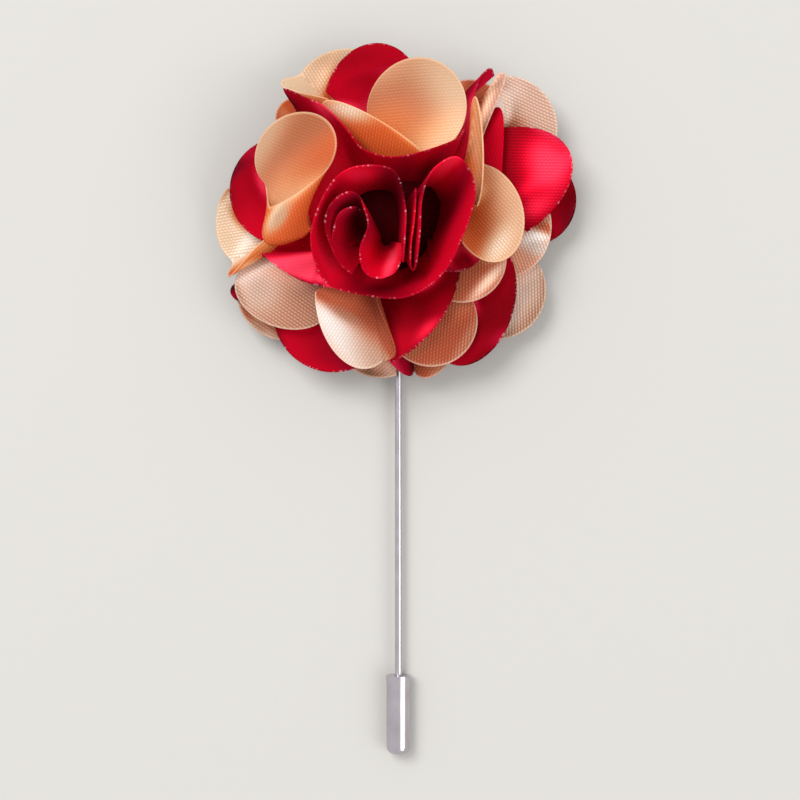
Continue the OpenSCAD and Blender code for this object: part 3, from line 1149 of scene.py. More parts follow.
@dataclass(frozen=True)
class Fold:
    """A rolled or wrapped red disc: its edge turns through a row of points."""

    name: str
    turns: tuple[tuple[float, float, float], ...]
    root: Root
    shade: Shade
    slide: tuple[float, float, float] = (0, 0, 0)
    patches: tuple[Patch, ...] = ()
    span_steps: int = 10

    def grid(self) -> ClothGrid:
        """Work out the fold's middle surface and what its material reads.

        Formula: a line runs to each point of the edge from the root, which slides evenly
        while the edge goes through its turns.

        Returns:
            The fold's grid.
        """
        edge = spline_through(np.array(self.turns), self.span_steps)
        gone = np.linspace(0, 1, len(edge))[:, None]
        roots = np.array([self.root.x, self.root.y, self.root.z]) + gone * np.array(self.slide)
        arch = np.array(self.root.arch) + 0 * edge
        length = np.linalg.norm(edge - roots, axis=1)
        start = np.full(len(edge), self.root.cut)
        along, rim = rows_to_edge(start, length)
        points = cloth_lines(roots, edge, arch, along)
        shade = self.shade.layers + 0 * rim
        for patch in self.patches:
            shade = patch.blend(shade, points, 0 * rim)
        spans = np.linalg.norm(np.diff(edge, axis=0), axis=1)
        travelled = np.concatenate([[0], np.cumsum(spans)])
        weave = np.stack([travelled[:, None] + 0 * rim, rim], axis=-1)
        return ClothGrid(points, roots, shade, rim, self.shade.depth + 0 * rim, weave)

    def build(self, finishes: Finishes) -> bpy.types.Object:
        return finished_cloth(self.name, self.grid(), Satin.RED, finishes)


def finished_cloth(
    name: str, grid: ClothGrid, satin: Satin, finishes: Finishes
) -> bpy.types.Object:
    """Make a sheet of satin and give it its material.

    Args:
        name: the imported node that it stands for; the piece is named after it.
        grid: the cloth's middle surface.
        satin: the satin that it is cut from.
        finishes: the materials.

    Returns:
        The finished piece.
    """
    piece = sewn_sheet(f"{name}_cloth", grid, CLOTH)
    piece.data.materials.append(finishes.satins[satin])
    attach(piece, BODY_FLOWER)
    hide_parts(name)
    width, length = grid.flat_size
    return piece


# Shade and Patch rows paint light on the cloth: painted shading, highlights and glow.
PETALS = (
    Petal(
        "front_top",
        Satin.WARM,
        Lobe(2.18, 11.66, 6.02, 0.98, 37, -66, 194, 9.85, 10.6, 7.35),
        Root(-0.06, 2.23, 6, 0.3),
        Shade(0.95, 0, 2, 1.2),
        lap=Lap((-9.1, 12.28, 9.4), (3.18, 5.89, 11.6), -42, -1, 1.3, 0.3, 0.5),
        lap_shade=Shade(0.79, 1, 80, 1.8),
        climb=1.3,
        patches=(
            Patch(7.63, 11.79, 9.6, 3.96, 116, 0.38, 0, LOBE),
            Patch(-6.14, 11.39, 3.23, 1.19, 164, 0.18, 0, LAP),
            Patch(2.71, 6.87, 6.6, 3.12, 27, 0, 0.83, LOBE),
            Patch(-2.93, 8.31, 6.6, 4.2, 26, 0.54, 1, LOBE),
            Patch(5.45, 5.17, 9.56, 0.84, 143, 0, 1, LAP),
            Patch(-8.21, 18.75, 8.4, 4.2, 179, 0, 0.64, LOBE),
        ),
    ),
    Petal(
        "front_left",
        Satin.WARM,
        Lobe(-12.31, 6.2, 5.23, 0.83, 37, -26, 221, 12.6, 11.3, 9.9),
        Root(-10.24, -3.24, 8.2, 0.06),
        Shade(0.97, 0.16, -20, 0.9),
        lap=Lap((-15.41, -0.34, 10.6), (-8.34, 3.99, 13.4), 50, 1, 0.5, 0.3, 0.35),
        lap_shade=Shade(0.82, 1, -79, 1.7),
        climb=2.55,
        arches=((-2.2, -1.6, 0), (0, 0, 0.5), (-2.9, -2.9, -0.1), (-1.4, -1.2, 0)),
        patches=(
            Patch(-14.62, -1.34, 2.13, 0.71, 61, 0.12, 0, LAP),
            Patch(-11.53, 1.03, 3.83, 4.91, 134, 0, 0.71, LOBE),
            Patch(-16.68, 7.61, 9.57, 2.27, 60, 0.57, 0, LOBE),
            Patch(-6.27, 7.49, 8.85, 2.51, 34, 0.82, 0.79, LOBE),
            Patch(-10.12, 3.63, 5.21, 0.95, 47, 0, 0.22, LAP),
            Patch(-14.15, -1.7, 1.9, 0.83, 55, 0.59, 0.03, LAP),
        ),
    ),
    Petal(
        "front_right",
        Satin.WARM,
        Lobe(10.6, -0.95, 6.09, 0.71, -75, -129, 90, 11.7, 10.4, 8.3),
        Root(6.06, 0.34, 6.5, 0.3),
        Shade(0.44, 0.16, -48, 2.2),
        lap=Lap((9.18, 12.8, 11), (9.32, -0.49, 13.2), -115, -1, 0.65, 0.3, 0.25),
        lap_shade=Shade(0.46, 0.6, -80, 2),
        climb=1.3,
        arches=((0, 0, 0.5), (0, 0, 0.5), (1.1, 0, 0.5), (1.1, 0, 0.5)),
        patches=(
            Patch(8.36, -1.28, 9.01, 3.36, 94, 0.85, 1, LOBE),
            Patch(7.9, 4.49, 2.49, 1.3, 101, 1, 0.99, LAP),
            Patch(11.96, -5.12, 3.36, 1.44, 59, 0.13, 0.15, LOBE),
            Patch(9.2, 1.61, 1.68, 1.32, 38, 0, 1, LOBE),
            Patch(8.14, 10.42, 4.98, 0.71, 85, 1, 1, LAP),
        ),
    ),
    Petal(
        "front_low_left",
        Satin.COOL,
        Lobe(-5.04, -11.91, 7.86, 0.62, -79, 163, 292, 8.6, 9.3, 10),
        Root(-4.1, -5.72, 5.8, 0.3, (0, 0, 0.2)),
        Shade(1, 1, 57, 1.3),
        lap=Lap((-0.65, -18.32, 9.7), (-2.69, -11.01, 10.4), 100, 1, 1.3, 0.35, 0.35),
        lap_shade=Shade(1, 1, 57, 1.5),
        climb=1.3,
        lap_rim=2,
        patches=(
            Patch(-7.42, -15.41, 9.66, 2.54, 126, 0.1, 0, LOBE),
            Patch(0.43, -20.84, 8.21, 2.78, 143, 0.66, 0, LOBE),
            Patch(-7.42, -11.79, 9.66, 0.85, 151, 1, 1, LOBE),
            Patch(-6.45, -13.12, 2.54, 0.72, 149, 0.79, 0.04, LOBE),
            Patch(-6.93, -10.58, 3.86, 1.69, 147, 0.77, 1, LOBE),
            Patch(-2.33, -17.73, 3.84, 0.72, 125, 0.63, 0, LAP),
        ),
    ),
    Petal(
        "front_low_red",
        Satin.RED,
        Lobe(-7.06, -5.61, 14.63, 1, 0, -5, -65, 8.8, 9, 8.6),
        Root(-3.98, -8.77, 5.6, 0.1),
        Shade(0.84, 1, 40, 0.3),
        patches=(
            Patch(3.58, -14.67, 2.9, 0.85, 46, 0.14, 0.59),
            Patch(-1.02, -17.94, 5.56, 1.69, 53, 0.46, 0.99),
            Patch(3.94, -9.11, 1.93, 0.73, 41, 0.12, 0.36),
            Patch(5.15, -12.01, 2.3, 1.09, 41, 0.57, 1),
            Patch(0.92, -13.22, 1.45, 0.97, 80, 0.63, 0.99),
        ),
    ),
    Petal(
        "front_left_red",
        Satin.RED,
        Lobe(-6.7, 3.46, 13.43, 1, 0, -92, -129, 10.25, 8.6, 10.95),
        Root(-6.51, -5.22, 7.2, 0.06, (0, 0, 0)),
        Shade(0, 0, 10, 1.3),
        lap=Lap((-16.29, -6.17, 10.05), (-10.52, -2.2, 7.5), 5, 1, 0.8, 0.35, 0.35),
        lap_shade=Shade(0.55, 1, 30, 1.2),
        climb=-1.1,
        patches=(
            Patch(-13.37, -5.33, 4.12, 0.73, 11, 1, 1, LOBE),
            Patch(-9.74, -10.18, 9.69, 0.73, 79, 1, 0, LOBE),
            Patch(-13.13, -9.21, 4.84, 0.73, 166, 1, 0, LOBE),
            Patch(-9.5, -8.84, 0.97, 0.73, 157, 0.07, 0, LOBE),
            Patch(-14.42, -4.27, 2.19, 0.73, 178, 0.21, 0.83, LAP),
        ),
    ),
    Petal(
        "front_low_right",
        Satin.COOL,
        Lobe(7.73, -6.23, 5.35, 1, 0, 9, -104, 7.3, 7.7, 7.6),
        Root(3.88, -2.83, 5.1, 0.3),
        Shade(0.8, 1, 89, 2.1),
        patches=(
            Patch(11.01, -8.91, 3.65, 0.73, 48, 0.03, 0.69),
            Patch(11.13, -6.47, 1.22, 0.73, 2, 0.58, 1),
        ),
    ),
    Petal(
        "front_right_red",
        Satin.RED,
        Lobe(6.45, -3.64, 4.39, 1, 0, -5, -128, 9.3, 10, 10.6),
        Root(3.25, -2.1, 6.5, 0.05),
        Shade(0.9, 0.03, 30, 0.3),
        patches=(
            Patch(8.37, -5.57, 3.97, 1.81, 18, 0.02, 0.02),
            Patch(7.41, -7.01, 1.08, 0.84, 121, 0.79, 0.9),
            Patch(8.37, -6.89, 1.56, 0.72, 126, 0.81, 0.6),
        ),
    ),
    Petal(
        "mid_top_red",
        Satin.RED,
        Lobe(-3.03, 12.51, 7.49, 0.8, -99, 38, 165, 7, 7, 7),
        Root(-1.29, 7.33, 4.6, 0.3),
        Shade(0.57, 1, 13, 0.5),
        patches=(
            Patch(-4.32, 11.15, 9.39, 1.34, 46, 0.27, 0.05),
            Patch(-5.54, 18.1, 3.66, 1.34, 19, 0.72, 0.99),
            Patch(-0.18, 16.39, 2.56, 0.73, 177, 0.47, 0.18),
            Patch(-6.15, 12.37, 1.83, 0.73, 167, 0.28, 0.12),
            Patch(-4.69, 15.54, 1.83, 0.85, 21, 0.7, 0.97),
        ),
    ),
    Petal(
        "mid_right_red",
        Satin.RED,
        Lobe(10.77, 2.21, 11.05, 0.62, -155, -46, 76, 6.4, 6.8, 5.6),
        Root(6.98, 2.42, 4.4, 0.3),
        Shade(0.76, 1, -2, 2.6),
        lap=Lap((12.04, 12.19, 6.6), (12.49, 3.53, 7.4), -92, -1, 1.3, 0.3, 0.35),
        lap_shade=Shade(0.45, 0.96, -70, 1.4),
        climb=1.3,
        lap_rim=2,
        patches=(
            Patch(16.92, 0.19, 2.69, 1.47, 32, 0.25, 0.6, LOBE),
            Patch(18.26, 5.56, 3.79, 3.54, 129, 0.12, 1, LOBE),
            Patch(18.14, 9.35, 7.69, 0.73, 149, 0.39, 0, LOBE),
            Patch(19.36, 5.07, 5.98, 1.22, 37, 0, 0.87, LOBE),
            Patch(18.26, 5.32, 2.93, 1.95, 115, 0.13, 0.15, LOBE),
        ),
    ),
    Petal(
        "mid_left_red",
        Satin.RED,
        Lobe(-13.99, 2, 6.54, 1, 0, 111, 251, 7, 6.8, 7.2),
        Root(-7.81, 0.51, 4.9, 0.3),
        Shade(0.67, 0.99, 20, 0.3),
        patches=(
            Patch(-16.54, -3.11, 4.27, 3.05, 98, 0.38, 1),
            Patch(-16.54, 2.87, 2.32, 0.73, 113, 0.16, 0.03),
            Patch(-19.71, 4.95, 5.98, 0.85, 51, 0.89, 0.05),
            Patch(-17.15, 6.66, 3.05, 1.1, 175, 0.55, 0.25),
            Patch(-20.69, 1.65, 1.71, 0.73, 98, 0.8, 0.77),
        ),
    ),
    Petal(
        "mid_upper_left",
        Satin.WARM,
        Lobe(-12.63, 11.27, 2.47, 1, 0, 77, 203, 4.6, 4.6, 4.8),
        Root(-6.62, 2.5, 3.7, 0.05),
        Shade(1, 0.6, 30, 0.9),
        patches=(
            Patch(-13.87, 12.13, 1.23, 0.86, 73, 0.79, 0.5),
            Patch(-13.37, 12.75, 6.54, 0.74, 133, 1, 0.98),
        ),
    ),
    Petal(
        "mid_low_left",
        Satin.COOL,
        Lobe(-13.99, -10.34, 6.19, 0.69, -19, 99, 332, 4, 6.6, 7.4),
        Root(-6.59, -6.48, 4.5, 0.3),
        Shade(0.78, 0.19, -36, 2.2),
        patches=(
            Patch(-19.61, -5.41, 6.97, 3.54, 118, 0.19, 0.2),
            Patch(-11.3, -8.47, 4.77, 1.47, 171, 0.24, 0.94),
            Patch(-17.04, -10.3, 2.08, 1.83, 39, 0.56, 0.04),
            Patch(-19.97, -10.55, 4.28, 0.73, 113, 0.82, 0.01),
            Patch(-17.53, -7.12, 5.5, 0.73, 24, 0.04, 0.38),
        ),
    ),
    Petal(
        "mid_low_right",
        Satin.COOL,
        Lobe(4.04, -13.79, 5.56, 1, 0, 25, -155, 6.55, 6.8, 6.3),
        Root(2.04, -6.52, 5.1, 0.3, (0, 0, 0.4)),
        Shade(0.99, 1, 85, 2.1),
        patches=(
            Patch(8, -16.78, 7.2, 0.73, 61, 0.83, 0.49),
            Patch(8, -11.17, 3.3, 2.08, 45, 0.74, 1),
            Patch(1.78, -17.52, 4.4, 1.22, 41, 0.74, 0.99),
            Patch(4.95, -19.47, 2.32, 0.73, 5, 0.84, 0.51),
            Patch(4.59, -14.83, 1.47, 0.73, 36, 0.8, 1),
        ),
    ),
    Petal(
        "mid_low_right_red",
        Satin.RED,
        Lobe(8.75, -11.26, 8.09, 0.67, -105, 49, -116, 6.3, 5.7, 5.2),
        Root(3.9, -4.97, 4.2, 0.3),
        Shade(0.84, 0.96, 50, 0.5),
        patches=(
            Patch(9.27, -11.84, 1.72, 0.74, 88, 0.15, 0.08),
            Patch(6.94, -18.96, 3.93, 0.98, 43, 0.51, 0.92),
            Patch(12.71, -6.44, 3.44, 1.96, 76, 0.55, 0.89),
            Patch(12.83, -15.65, 2.21, 0.86, 29, 0.64, 0.15),
            Patch(11.36, -10.25, 1.6, 0.74, 54, 0.63, 1),
        ),
    ),
    Petal(
        "rear_upper_left",
        Satin.WARM,
        Lobe(-6.28, 12.87, 6.81, 1, 0, 66, 145, 5, 4.8, 5),
        Root(-3.28, 7.49, 3.4, 0.3),
        Shade(0.36, 0.03, -59, 2.8),
        lap=Lap((-14.32, 15.31, 6.2), (-8.54, 12.99, 8.4), -15, 1, 1, 0.35, 0.35),
        lap_shade=Shade(0.28, 0, -20, 1.8),
        climb=1.3,
        patches=(
            Patch(-10.96, 12.99, 5.7, 0.73, 171, 0.65, 1, LAP),
            Patch(-8.68, 14.07, 3.45, 0.86, 77, 1, 1, LOBE),
            Patch(-8.93, 17.03, 3.33, 0.86, 72, 0.14, 0.51, LOBE),
            Patch(-9.67, 18.76, 1.48, 2.22, 106, 0.52, 0, LOBE),
        ),
    ),
    Petal(
        "rear_top",
        Satin.COOL,
        Lobe(8.77, 11.55, 4.17, 1, 0, -10, 165, 6, 6, 6),
        Root(3.9, 7.38, 4.2, 0.05),
        Shade(0.99, 1, 40, 1),
        patches=(
            Patch(12.08, 12.28, 2.94, 1.59, 75, 0.03, 0.08),
            Patch(7.66, 15.1, 2.82, 0.74, 84, 0.75, 1),
        ),
    ),
    Petal(
        "rear_upper_right",
        Satin.COOL,
        Lobe(13.24, 9.98, 6.26, 1, 0, -25, 85, 4.8, 4.8, 5.4),
        Root(5.15, 5.63, 3.4, 0.3, (0, 0, 0.2)),
        Shade(0.54, 0.18, -24, 2.6),
        lap=Lap((12.73, 16.26, 7.4), (9.78, 6.86, 8), -100, -1, 1.3, 0.3, 0.35),
        lap_shade=Shade(0, 0.99, -85, 2),
        climb=1.3,
        patches=(
            Patch(12.76, 13.21, 2.46, 1.6, 46, 0, 0.48, LOBE),
            Patch(13.86, 7.91, 5.54, 0.99, 85, 0.75, 0.08, LOBE),
            Patch(12.33, 13.9, 9.72, 0.73, 73, 0.53, 0.46, LAP),
            Patch(9.66, 12.69, 9.59, 0.73, 72, 1, 1, LAP),
            Patch(12.63, 9.89, 2.71, 0.99, 17, 1, 0.68, LOBE),
            Patch(13.13, 11.49, 1.85, 0.74, 78, 0.12, 0.52, LOBE),
            Patch(11.12, 9.17, 8.62, 0.73, 59, 1, 1, LAP),
        ),
    ),
    Petal(
        "rear_right_red",
        Satin.RED,
        Lobe(16.28, 1.25, 5.63, 1, 0, 29, -70, 3.8, 3.8, 3.8),
        Root(6.41, 0.76, 2.6, 0.3, (0, 0, 0.2)),
        Shade(0.84, 0.91, 60, 0.4),
        patches=(
            Patch(19, -1.35, 2.72, 1.11, 74, 0.55, 0.95),
            Patch(21.1, -1.1, 1.48, 0.99, 64, 0.88, 0.29),
            Patch(20.98, 3.72, 2.1, 1.24, 35, 0.63, 0.93),
        ),
    ),
    Petal(
        "rear_right",
        Satin.COOL,
        Lobe(12.66, -1.96, 6.45, 0.94, -76, 20, -76, 5.3, 5, 4.8),
        Root(7, -1.84, 3.7, 0.3, (0, 0, 0.4)),
        Shade(0.51, 0.69, -69, 2.8),
        patches=(
            Patch(16.93, -3.44, 2.58, 1.11, 21, 0.02, 0.01),
            Patch(17.91, -2.21, 8.12, 0.74, 156, 0.86, 0.97),
            Patch(17.18, -4.79, 1.6, 0.98, 173, 0.36, 0.03),
            Patch(14.34, -6.64, 1.85, 1.23, 74, 0.4, 0.97),
        ),
    ),
    Petal(
        "rear_right_low",
        Satin.COOL,
        Lobe(12.21, -9.87, 6.01, 1, 0, 32, -92, 3.5, 3.5, 3.7),
        Root(5.16, -3.61, 2.75, 0.3, (0, 0, 0.3)),
        Shade(0.81, 0.02, -88, 2.8),
        patches=(
            Patch(15.43, -8.76, 5.2, 1.86, 72, 0.19, 0.43),
            Patch(13.57, -13.59, 1.86, 0.99, 45, 0.33, 0.27),
            Patch(16.3, -9.87, 2.11, 1.36, 94, 0.55, 0.03),
            Patch(14.81, -7.02, 2.97, 1.61, 74, 0.18, 0.77),
        ),
    ),
    Petal(
        "rear_low_right",
        Satin.COOL,
        Lobe(4.29, -18.19, 2.97, 0.62, -130, 20, -178, 2.9, 4.4, 3.4),
        Root(2.06, -6.68, 2.3, 0.05),
        Shade(0.99, 1, 60, 1.8),
        patches=(
            Patch(4.88, -19.8, 1.23, 0.74, 30, 0.63, 0.81),
            Patch(4.02, -18.81, 1.36, 0.99, 47, 0.78, 0.99),
        ),
    ),
    Petal(
        "rear_low_tip_red",
        Satin.RED,
        Lobe(-1.33, -15.89, 5.41, 0.28, -57, 90, -90, 5.2, 5.2, 5.2),
        Root(-4, -11.8, 4.9, 0.05),
        Shade(0.28, 0, 0, 0.3),
        patches=(
            Patch(1.79, -19.2, 2.46, 1.35, 97, 0.98, 0.51),
            Patch(0.56, -18.21, 1.35, 0.74, 103, 0.63, 0.35),
        ),
    ),
    Petal(
        "rear_low",
        Satin.COOL,
        Lobe(-2.29, -15.45, 5.69, 0.92, 0, -157, -67, 3.7, 3.7, 3.7),
        Root(-1.67, -7.36, 3, 0.3),
        Shade(0.49, 0.39, 40, 1.6),
        patches=(
            Patch(-3.52, -20.28, 1.73, 1.49, 154, 0.96, 0.01),
            Patch(-1.3, -18.8, 1.61, 0.87, 131, 0.21, 0.88),
            Patch(-2.53, -18.55, 1.36, 0.87, 85, 0.41, 0.76),
        ),
    ),
    Petal(
        "rear_low_red",
        Satin.RED,
        Lobe(-7.99, -12.68, 7.33, 1, 0, -176, -53, 5.2, 5.4, 5.4),
        Root(-5.39, -7.39, 3.5, 0.3),
        Shade(0.53, 0.96, -30, 0.5),
        patches=(
            Patch(-9.76, -14.78, 3.93, 0.74, 3, 0.25, 1),
            Patch(-7.55, -17.97, 3.69, 1.84, 162, 0.72, 0.83),
            Patch(-15.17, -15.15, 3.93, 0.74, 110, 0.79, 0.67),
            Patch(-7.43, -17.97, 2.95, 0.74, 121, 0.75, 0.23),
        ),
    ),
    Petal(
        "rear_low_left",
        Satin.COOL,
        Lobe(-13.82, -9.86, 6.2, 1, 0, -178, -90, 3.4, 3.4, 3.4),
        Root(-6.65, -5.48, 2.8, 0.3),
        Shade(0.75, 0.07, -34, 1.8),
        patches=(
            Patch(-15.06, -14.82, 1.12, 1.36, 101, 0.42, 0.27),
            Patch(-18.9, -12.59, 3.97, 0.99, 5, 0.95, 0.7),
            Patch(-15.31, -14.33, 2.6, 0.87, 145, 0.72, 0.87),
        ),
    ),
    Petal(
        "rear_left_tip_red",
        Satin.RED,
        Lobe(-15.61, -10.05, 5.06, 0.42, 180, 90, 270, 4.4, 4.4, 4.4),
        Root(-13.17, -9.89, 3.9, 0.05),
        Shade(1, 0, 0, 0.3),
        patches=(
            Patch(-21.26, -11.17, 1.36, 0.74, 29, 0.42, 0),
        ),
    ),
    Petal(
        "rear_left",
        Satin.WARM,
        Lobe(-16.29, -1.69, 6.22, 1, 0, 138, 227, 5.75, 3.5, 5.3),
        Root(-8.49, -1.18, 3.3, 0.3),
        Shade(0.13, 0.18, 9, 2.4),
        lap=Lap((-20.71, -8.35, 6.6), (-15.86, -3.69, 7.8), 35, 1, 0.45, 0.35, 0.35),
        lap_shade=Shade(0.99, 1, 40, 1.8),
        climb=1.8,
        patches=(
            Patch(-18.4, -3.68, 7.43, 0.74, 50, 0, 0, LOBE),
            Patch(-21.87, 2.02, 9.91, 0.74, 41, 1, 0, LOBE),
            Patch(-19.51, -0.95, 1.61, 0.74, 124, 1, 1, LOBE),
            Patch(-18.04, -4.29, 9.72, 1.82, 20, 0.32, 1, LAP),
            Patch(-21.74, -3.43, 3.35, 1.61, 112, 0.29, 0, LOBE),
            Patch(-17.92, -7.33, 0.85, 1.82, 115, 0, 0.47, LAP),
        ),
    ),
)
"""The discs, from the bud outwards."""

# Shade and Patch rows paint light on the cloth: painted shading, highlights and glow.
FOLDS = (
    Fold(
        "bud_collar",
        turns=(
            (-11.53, -3.48, 6.8), (-12.34, 1.81, 7.6), (-12.06, 6.83, 8.2), (-12.04, 10.17, 8.6),
            (-12.63, 11.98, 9), (-13.82, 14.05, 9.3), (-11.12, 12.83, 10.1), (-8.9, 11.61, 11.3),
            (-6.11, 8.64, 12.8), (-4.55, 6.46, 13.5), (-2.42, 5.52, 13.5), (-0.28, 5.28, 13.5),
            (2.32, 5.75, 13.5), (5.29, 6.74, 13.2), (7.08, 7.63, 12.8), (7.8, 8.63, 12.5),
        ),
        root=Root(-5.2, 0.52, 6, 0.12, (0, 0, 0)),
        shade=Shade(0.46, 0.86),
        slide=(10.29, 1.72, 0),
        patches=(
            Patch(-8.95, 2.38, 7.12, 2.02, 69, 0, 0.91),
            Patch(3.4, 4.16, 3.56, 0.95, 39, 0.91, 0.27),
            Patch(-14.29, 12.23, 4.27, 2.14, 158, 0.97, 0.79),
            Patch(-4.56, 4.75, 4.27, 0.83, 117, 0.7, 0.97),
            Patch(-8.83, 11.52, 2.02, 0.71, 140, 0.19, 0.07),
            Patch(1.26, 3.68, 2.02, 1.07, 111, 0.57, 0.52),
        ),
    ),
    Fold(
        "front_top_red",
        turns=(
            (9.17, 2.59, 8.2), (8.8, 5.59, 8.4), (8.66, 9.19, 8.7), (8.77, 11.8, 9),
            (9.25, 13.7, 9.2), (9.96, 15.36, 9.4), (10.68, 16.31, 9.5), (11.23, 16.38, 9.4),
            (11.54, 15.64, 9.2),
        ),
        root=Root(1.42, 6.94, 5.6, 0.05, (0, 0, 0)),
        shade=Shade(0.65, 0.42),
        patches=(
            Patch(8.05, 11.56, 6.65, 1.21, 79, 0.05, 0.04),
            Patch(8.89, 15.19, 2.42, 0.73, 76, 0.97, 0.03),
            Patch(7.08, 5.76, 3.14, 0.85, 71, 0.64, 0.94),
        ),
    ),
    Fold(
        "bud_wrap",
        turns=(
            (0.54, -7.31, 15.6), (0.77, -4.33, 16.3), (0.77, -0.76, 16.8), (-0.51, 3.18, 17),
            (-4.35, 3.77, 17), (-7.16, 2.51, 16.8), (-9.27, -0.83, 16.4), (-10.23, -5, 16),
            (-8.61, -9.54, 15.5), (-4.51, -11.04, 15.1), (0.78, -11.39, 15), (5, -8.84, 15.6),
            (7.55, -4.23, 16.5), (8.92, 0.47, 17.3), (8.09, 3.47, 17.5), (6.47, 4.75, 17.5),
            (3.91, 3.12, 17.5), (2.75, 0.04, 17), (2.52, -3.89, 16.6), (2.12, -7.33, 15.8),
            (1.78, -8.23, 15.3), (1.45, -7.64, 15.3), (1.48, -5.33, 15.7), (1.83, -2.66, 16),
            (2, -0.67, 16), (2.06, 1.34, 15.8),
        ),
        root=Root(-1.37, -1.63, -8, 0.62, (0, 0, 0)),
        shade=Shade(0.36, 0.91),
        patches=(
            Patch(-2.62, -10.62, 3.63, 1.17, 175, 0.88, 0.54),
            Patch(6.28, -0.44, 5.15, 1.17, 64, 0.89, 0.34),
            Patch(-0.4, -0.2, 5.27, 2.46, 83, 0.93, 0.03),
            Patch(1.83, -8.63, 1.99, 1.17, 59, 0.72, 0.62),
            Patch(-8.36, -6.29, 2.93, 1.17, 109, 0, 0.99),
            Patch(1.48, -2.54, 3.16, 0.94, 87, 0.15, 0.89),
            Patch(4.52, 0.73, 2.11, 1.29, 154, 0.85, 0.1),
            Patch(5.93, 4.25, 2.34, 0.7, 33, 0.01, 0.8),
            Patch(-4.61, 3.07, 2.11, 0.7, 3, 0.02, 0.95),
        ),
    ),
    Fold(
        "bud_inner",
        turns=(
            (0.28, -4.97, 14.2), (0.34, -6.26, 14.2), (0.13, -7.45, 14.3), (-0.52, -8.48, 14.6),
            (-1.46, -8.97, 15), (-2.16, -9.15, 15), (-3.22, -8.97, 15.1), (-4.16, -8.11, 15.2),
            (-4.5, -6.49, 15.6), (-4.38, -5.4, 15.9), (-3.96, -4.36, 16.1), (-3.55, -3.31, 16.3),
            (-3.63, -2.23, 16.4), (-3.96, -1.19, 16.5), (-4.36, -0.04, 16.6), (-4.94, 0.54, 16.7),
            (-5.64, 0.78, 16.8), (-6.39, 0.58, 16.7), (-7.13, 0.16, 16.6), (-8.1, -0.99, 16.5),
            (-8.57, -2.47, 16.4), (-8.46, -3.73, 16.2), (-8, -5.19, 16), (-7.32, -6.72, 15.5),
            (-6.51, -7.86, 15), (-5.47, -8.64, 14.4),
        ),
        root=Root(-1.09, -4.14, 7.4, 0.08, (0, 0, 0)),
        shade=Shade(0.32, 0.96),
        slide=(-1.44, 0.79, -3.4),
        patches=(
            Patch(-0.86, -7.23, 2.58, 0.7, 72, 0, 0.01),
            Patch(-5.31, -0.09, 3.63, 0.82, 21, 0.83, 0.1),
            Patch(-5.08, -3.72, 3.75, 1.64, 21, 0.66, 0.3),
            Patch(-0.75, -4.42, 1.17, 0.7, 43, 0.87, 0.52),
            Patch(-7.65, -8.28, 4.92, 2.46, 121, 0.53, 0.93),
            Patch(-8.59, -2.31, 3.28, 0.7, 86, 0.72, 0.64),
        ),
    ),
    Fold(
        "bud_heart",
        turns=(
            (-7.75, -5.87, 15.1), (-7.8, -5.06, 15.3), (-7.67, -3.88, 15.6), (-7.16, -2.06, 15.8),
            (-6.42, -1.25, 15.9), (-5.35, -0.91, 16), (-4.67, -1.08, 16), (-4.32, -1.53, 15.8),
        ),
        root=Root(-2.38, -3.77, 6, 0.08, (0, 0, 0)),
        shade=Shade(0.55, 0.66),
        patches=(
            Patch(-4.84, -1.84, 3.39, 1.76, 93, 0.97, 0.53),
            Patch(-5.78, -0.55, 2.81, 0.7, 38, 0.43, 0.26),
            Patch(-6.95, -4.54, 2.34, 0.7, 115, 0.54, 0.89),
            Patch(-6.25, -5.35, 1.29, 0.7, 13, 0.5, 0.63),
        ),
    ),
)
"""The rolled and wrapped cloths of the bud and its collar."""


@dataclass(frozen=True)
class RootGather:
    """The stitched and glued roots of the discs, under the bud: a pleated red dome."""

    node: str = "root_gather"
    core: Core = CORE
    # painted shade and glow: the dome is coloured almost fully shaded and glowing all over
    shade: Shade = Shade(0.98, 1, depth=0.4)
    rim: float = 5.0
    pleats: int = 26
    pleat_depth: float = 0.045
    rings: int = 30
    steps: int = 312

    def build(self, finishes: Finishes) -> bpy.types.Object:
        """Make the dome.

        Formula: half an ellipsoid whose radius is drawn in by a cosine of pleats times the
        angle round, fading towards the top; the underside is flat.

        Args:
            finishes: the materials.

        Returns:
            The dome.
        """
        rise = np.linspace(0, np.pi / 2, self.rings)[:, None]
        turn = np.linspace(0, 2 * np.pi, self.steps, endpoint=False)[None]
        folds = 1 + np.cos(self.pleats * turn + 2 * np.sin(3 * turn))
        radius = self.core.radius * np.cos(rise) * (1 - self.pleat_depth * np.cos(rise) * folds)
        z = self.core.base + self.core.height * np.sin(rise) + 0 * turn
        dome = np.stack([radius * np.cos(turn), radius * np.sin(turn), z], axis=-1)
        foot = np.zeros((1, self.steps, 3)) + (0, 0, self.core.base)
        points = np.concatenate([foot, dome])
        piece = revolved(f"{self.node}_pleats", points)
        even = np.zeros(points.shape[:2])
        # painted shading and painted glow, the same all over the dome
        store_value(piece, "tone", even + self.shade.tone)
        store_value(piece, "painted_glow", even + self.shade.painted_glow)
        store_value(piece, "rim", even + self.rim)
        store_value(piece, "ribs", even + self.shade.depth)
        weave = np.stack([turn * self.core.radius + even, points[..., 2]], axis=-1)
        store_weave(piece, weave.reshape(-1, 2))
        piece.data.materials.append(finishes.satins[Satin.RED])
        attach(piece, BODY_FLOWER)
        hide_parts(self.node)
        LOG.info("%s: %d pleats", self.node, self.pleats)
        return piece


def revolved(name: str, points: Points) -> bpy.types.Object:
    """Join rings of points into a closed piece, its first and last rings drawn to poles.

    Args:
        name: the piece's name.
        points: rings by steps by three.

    Returns:
        The new object.
    """
    rings, steps = points.shape[:2]
    number = np.arange(rings * steps).reshape(rings, steps)
    after = np.roll(number, -1, axis=1)
    quads = np.stack([number[:-1], after[:-1], after[1:], number[1:]], axis=-1).reshape(-1, 4)
    return new_piece(name, points.reshape(-1, 3), quads)


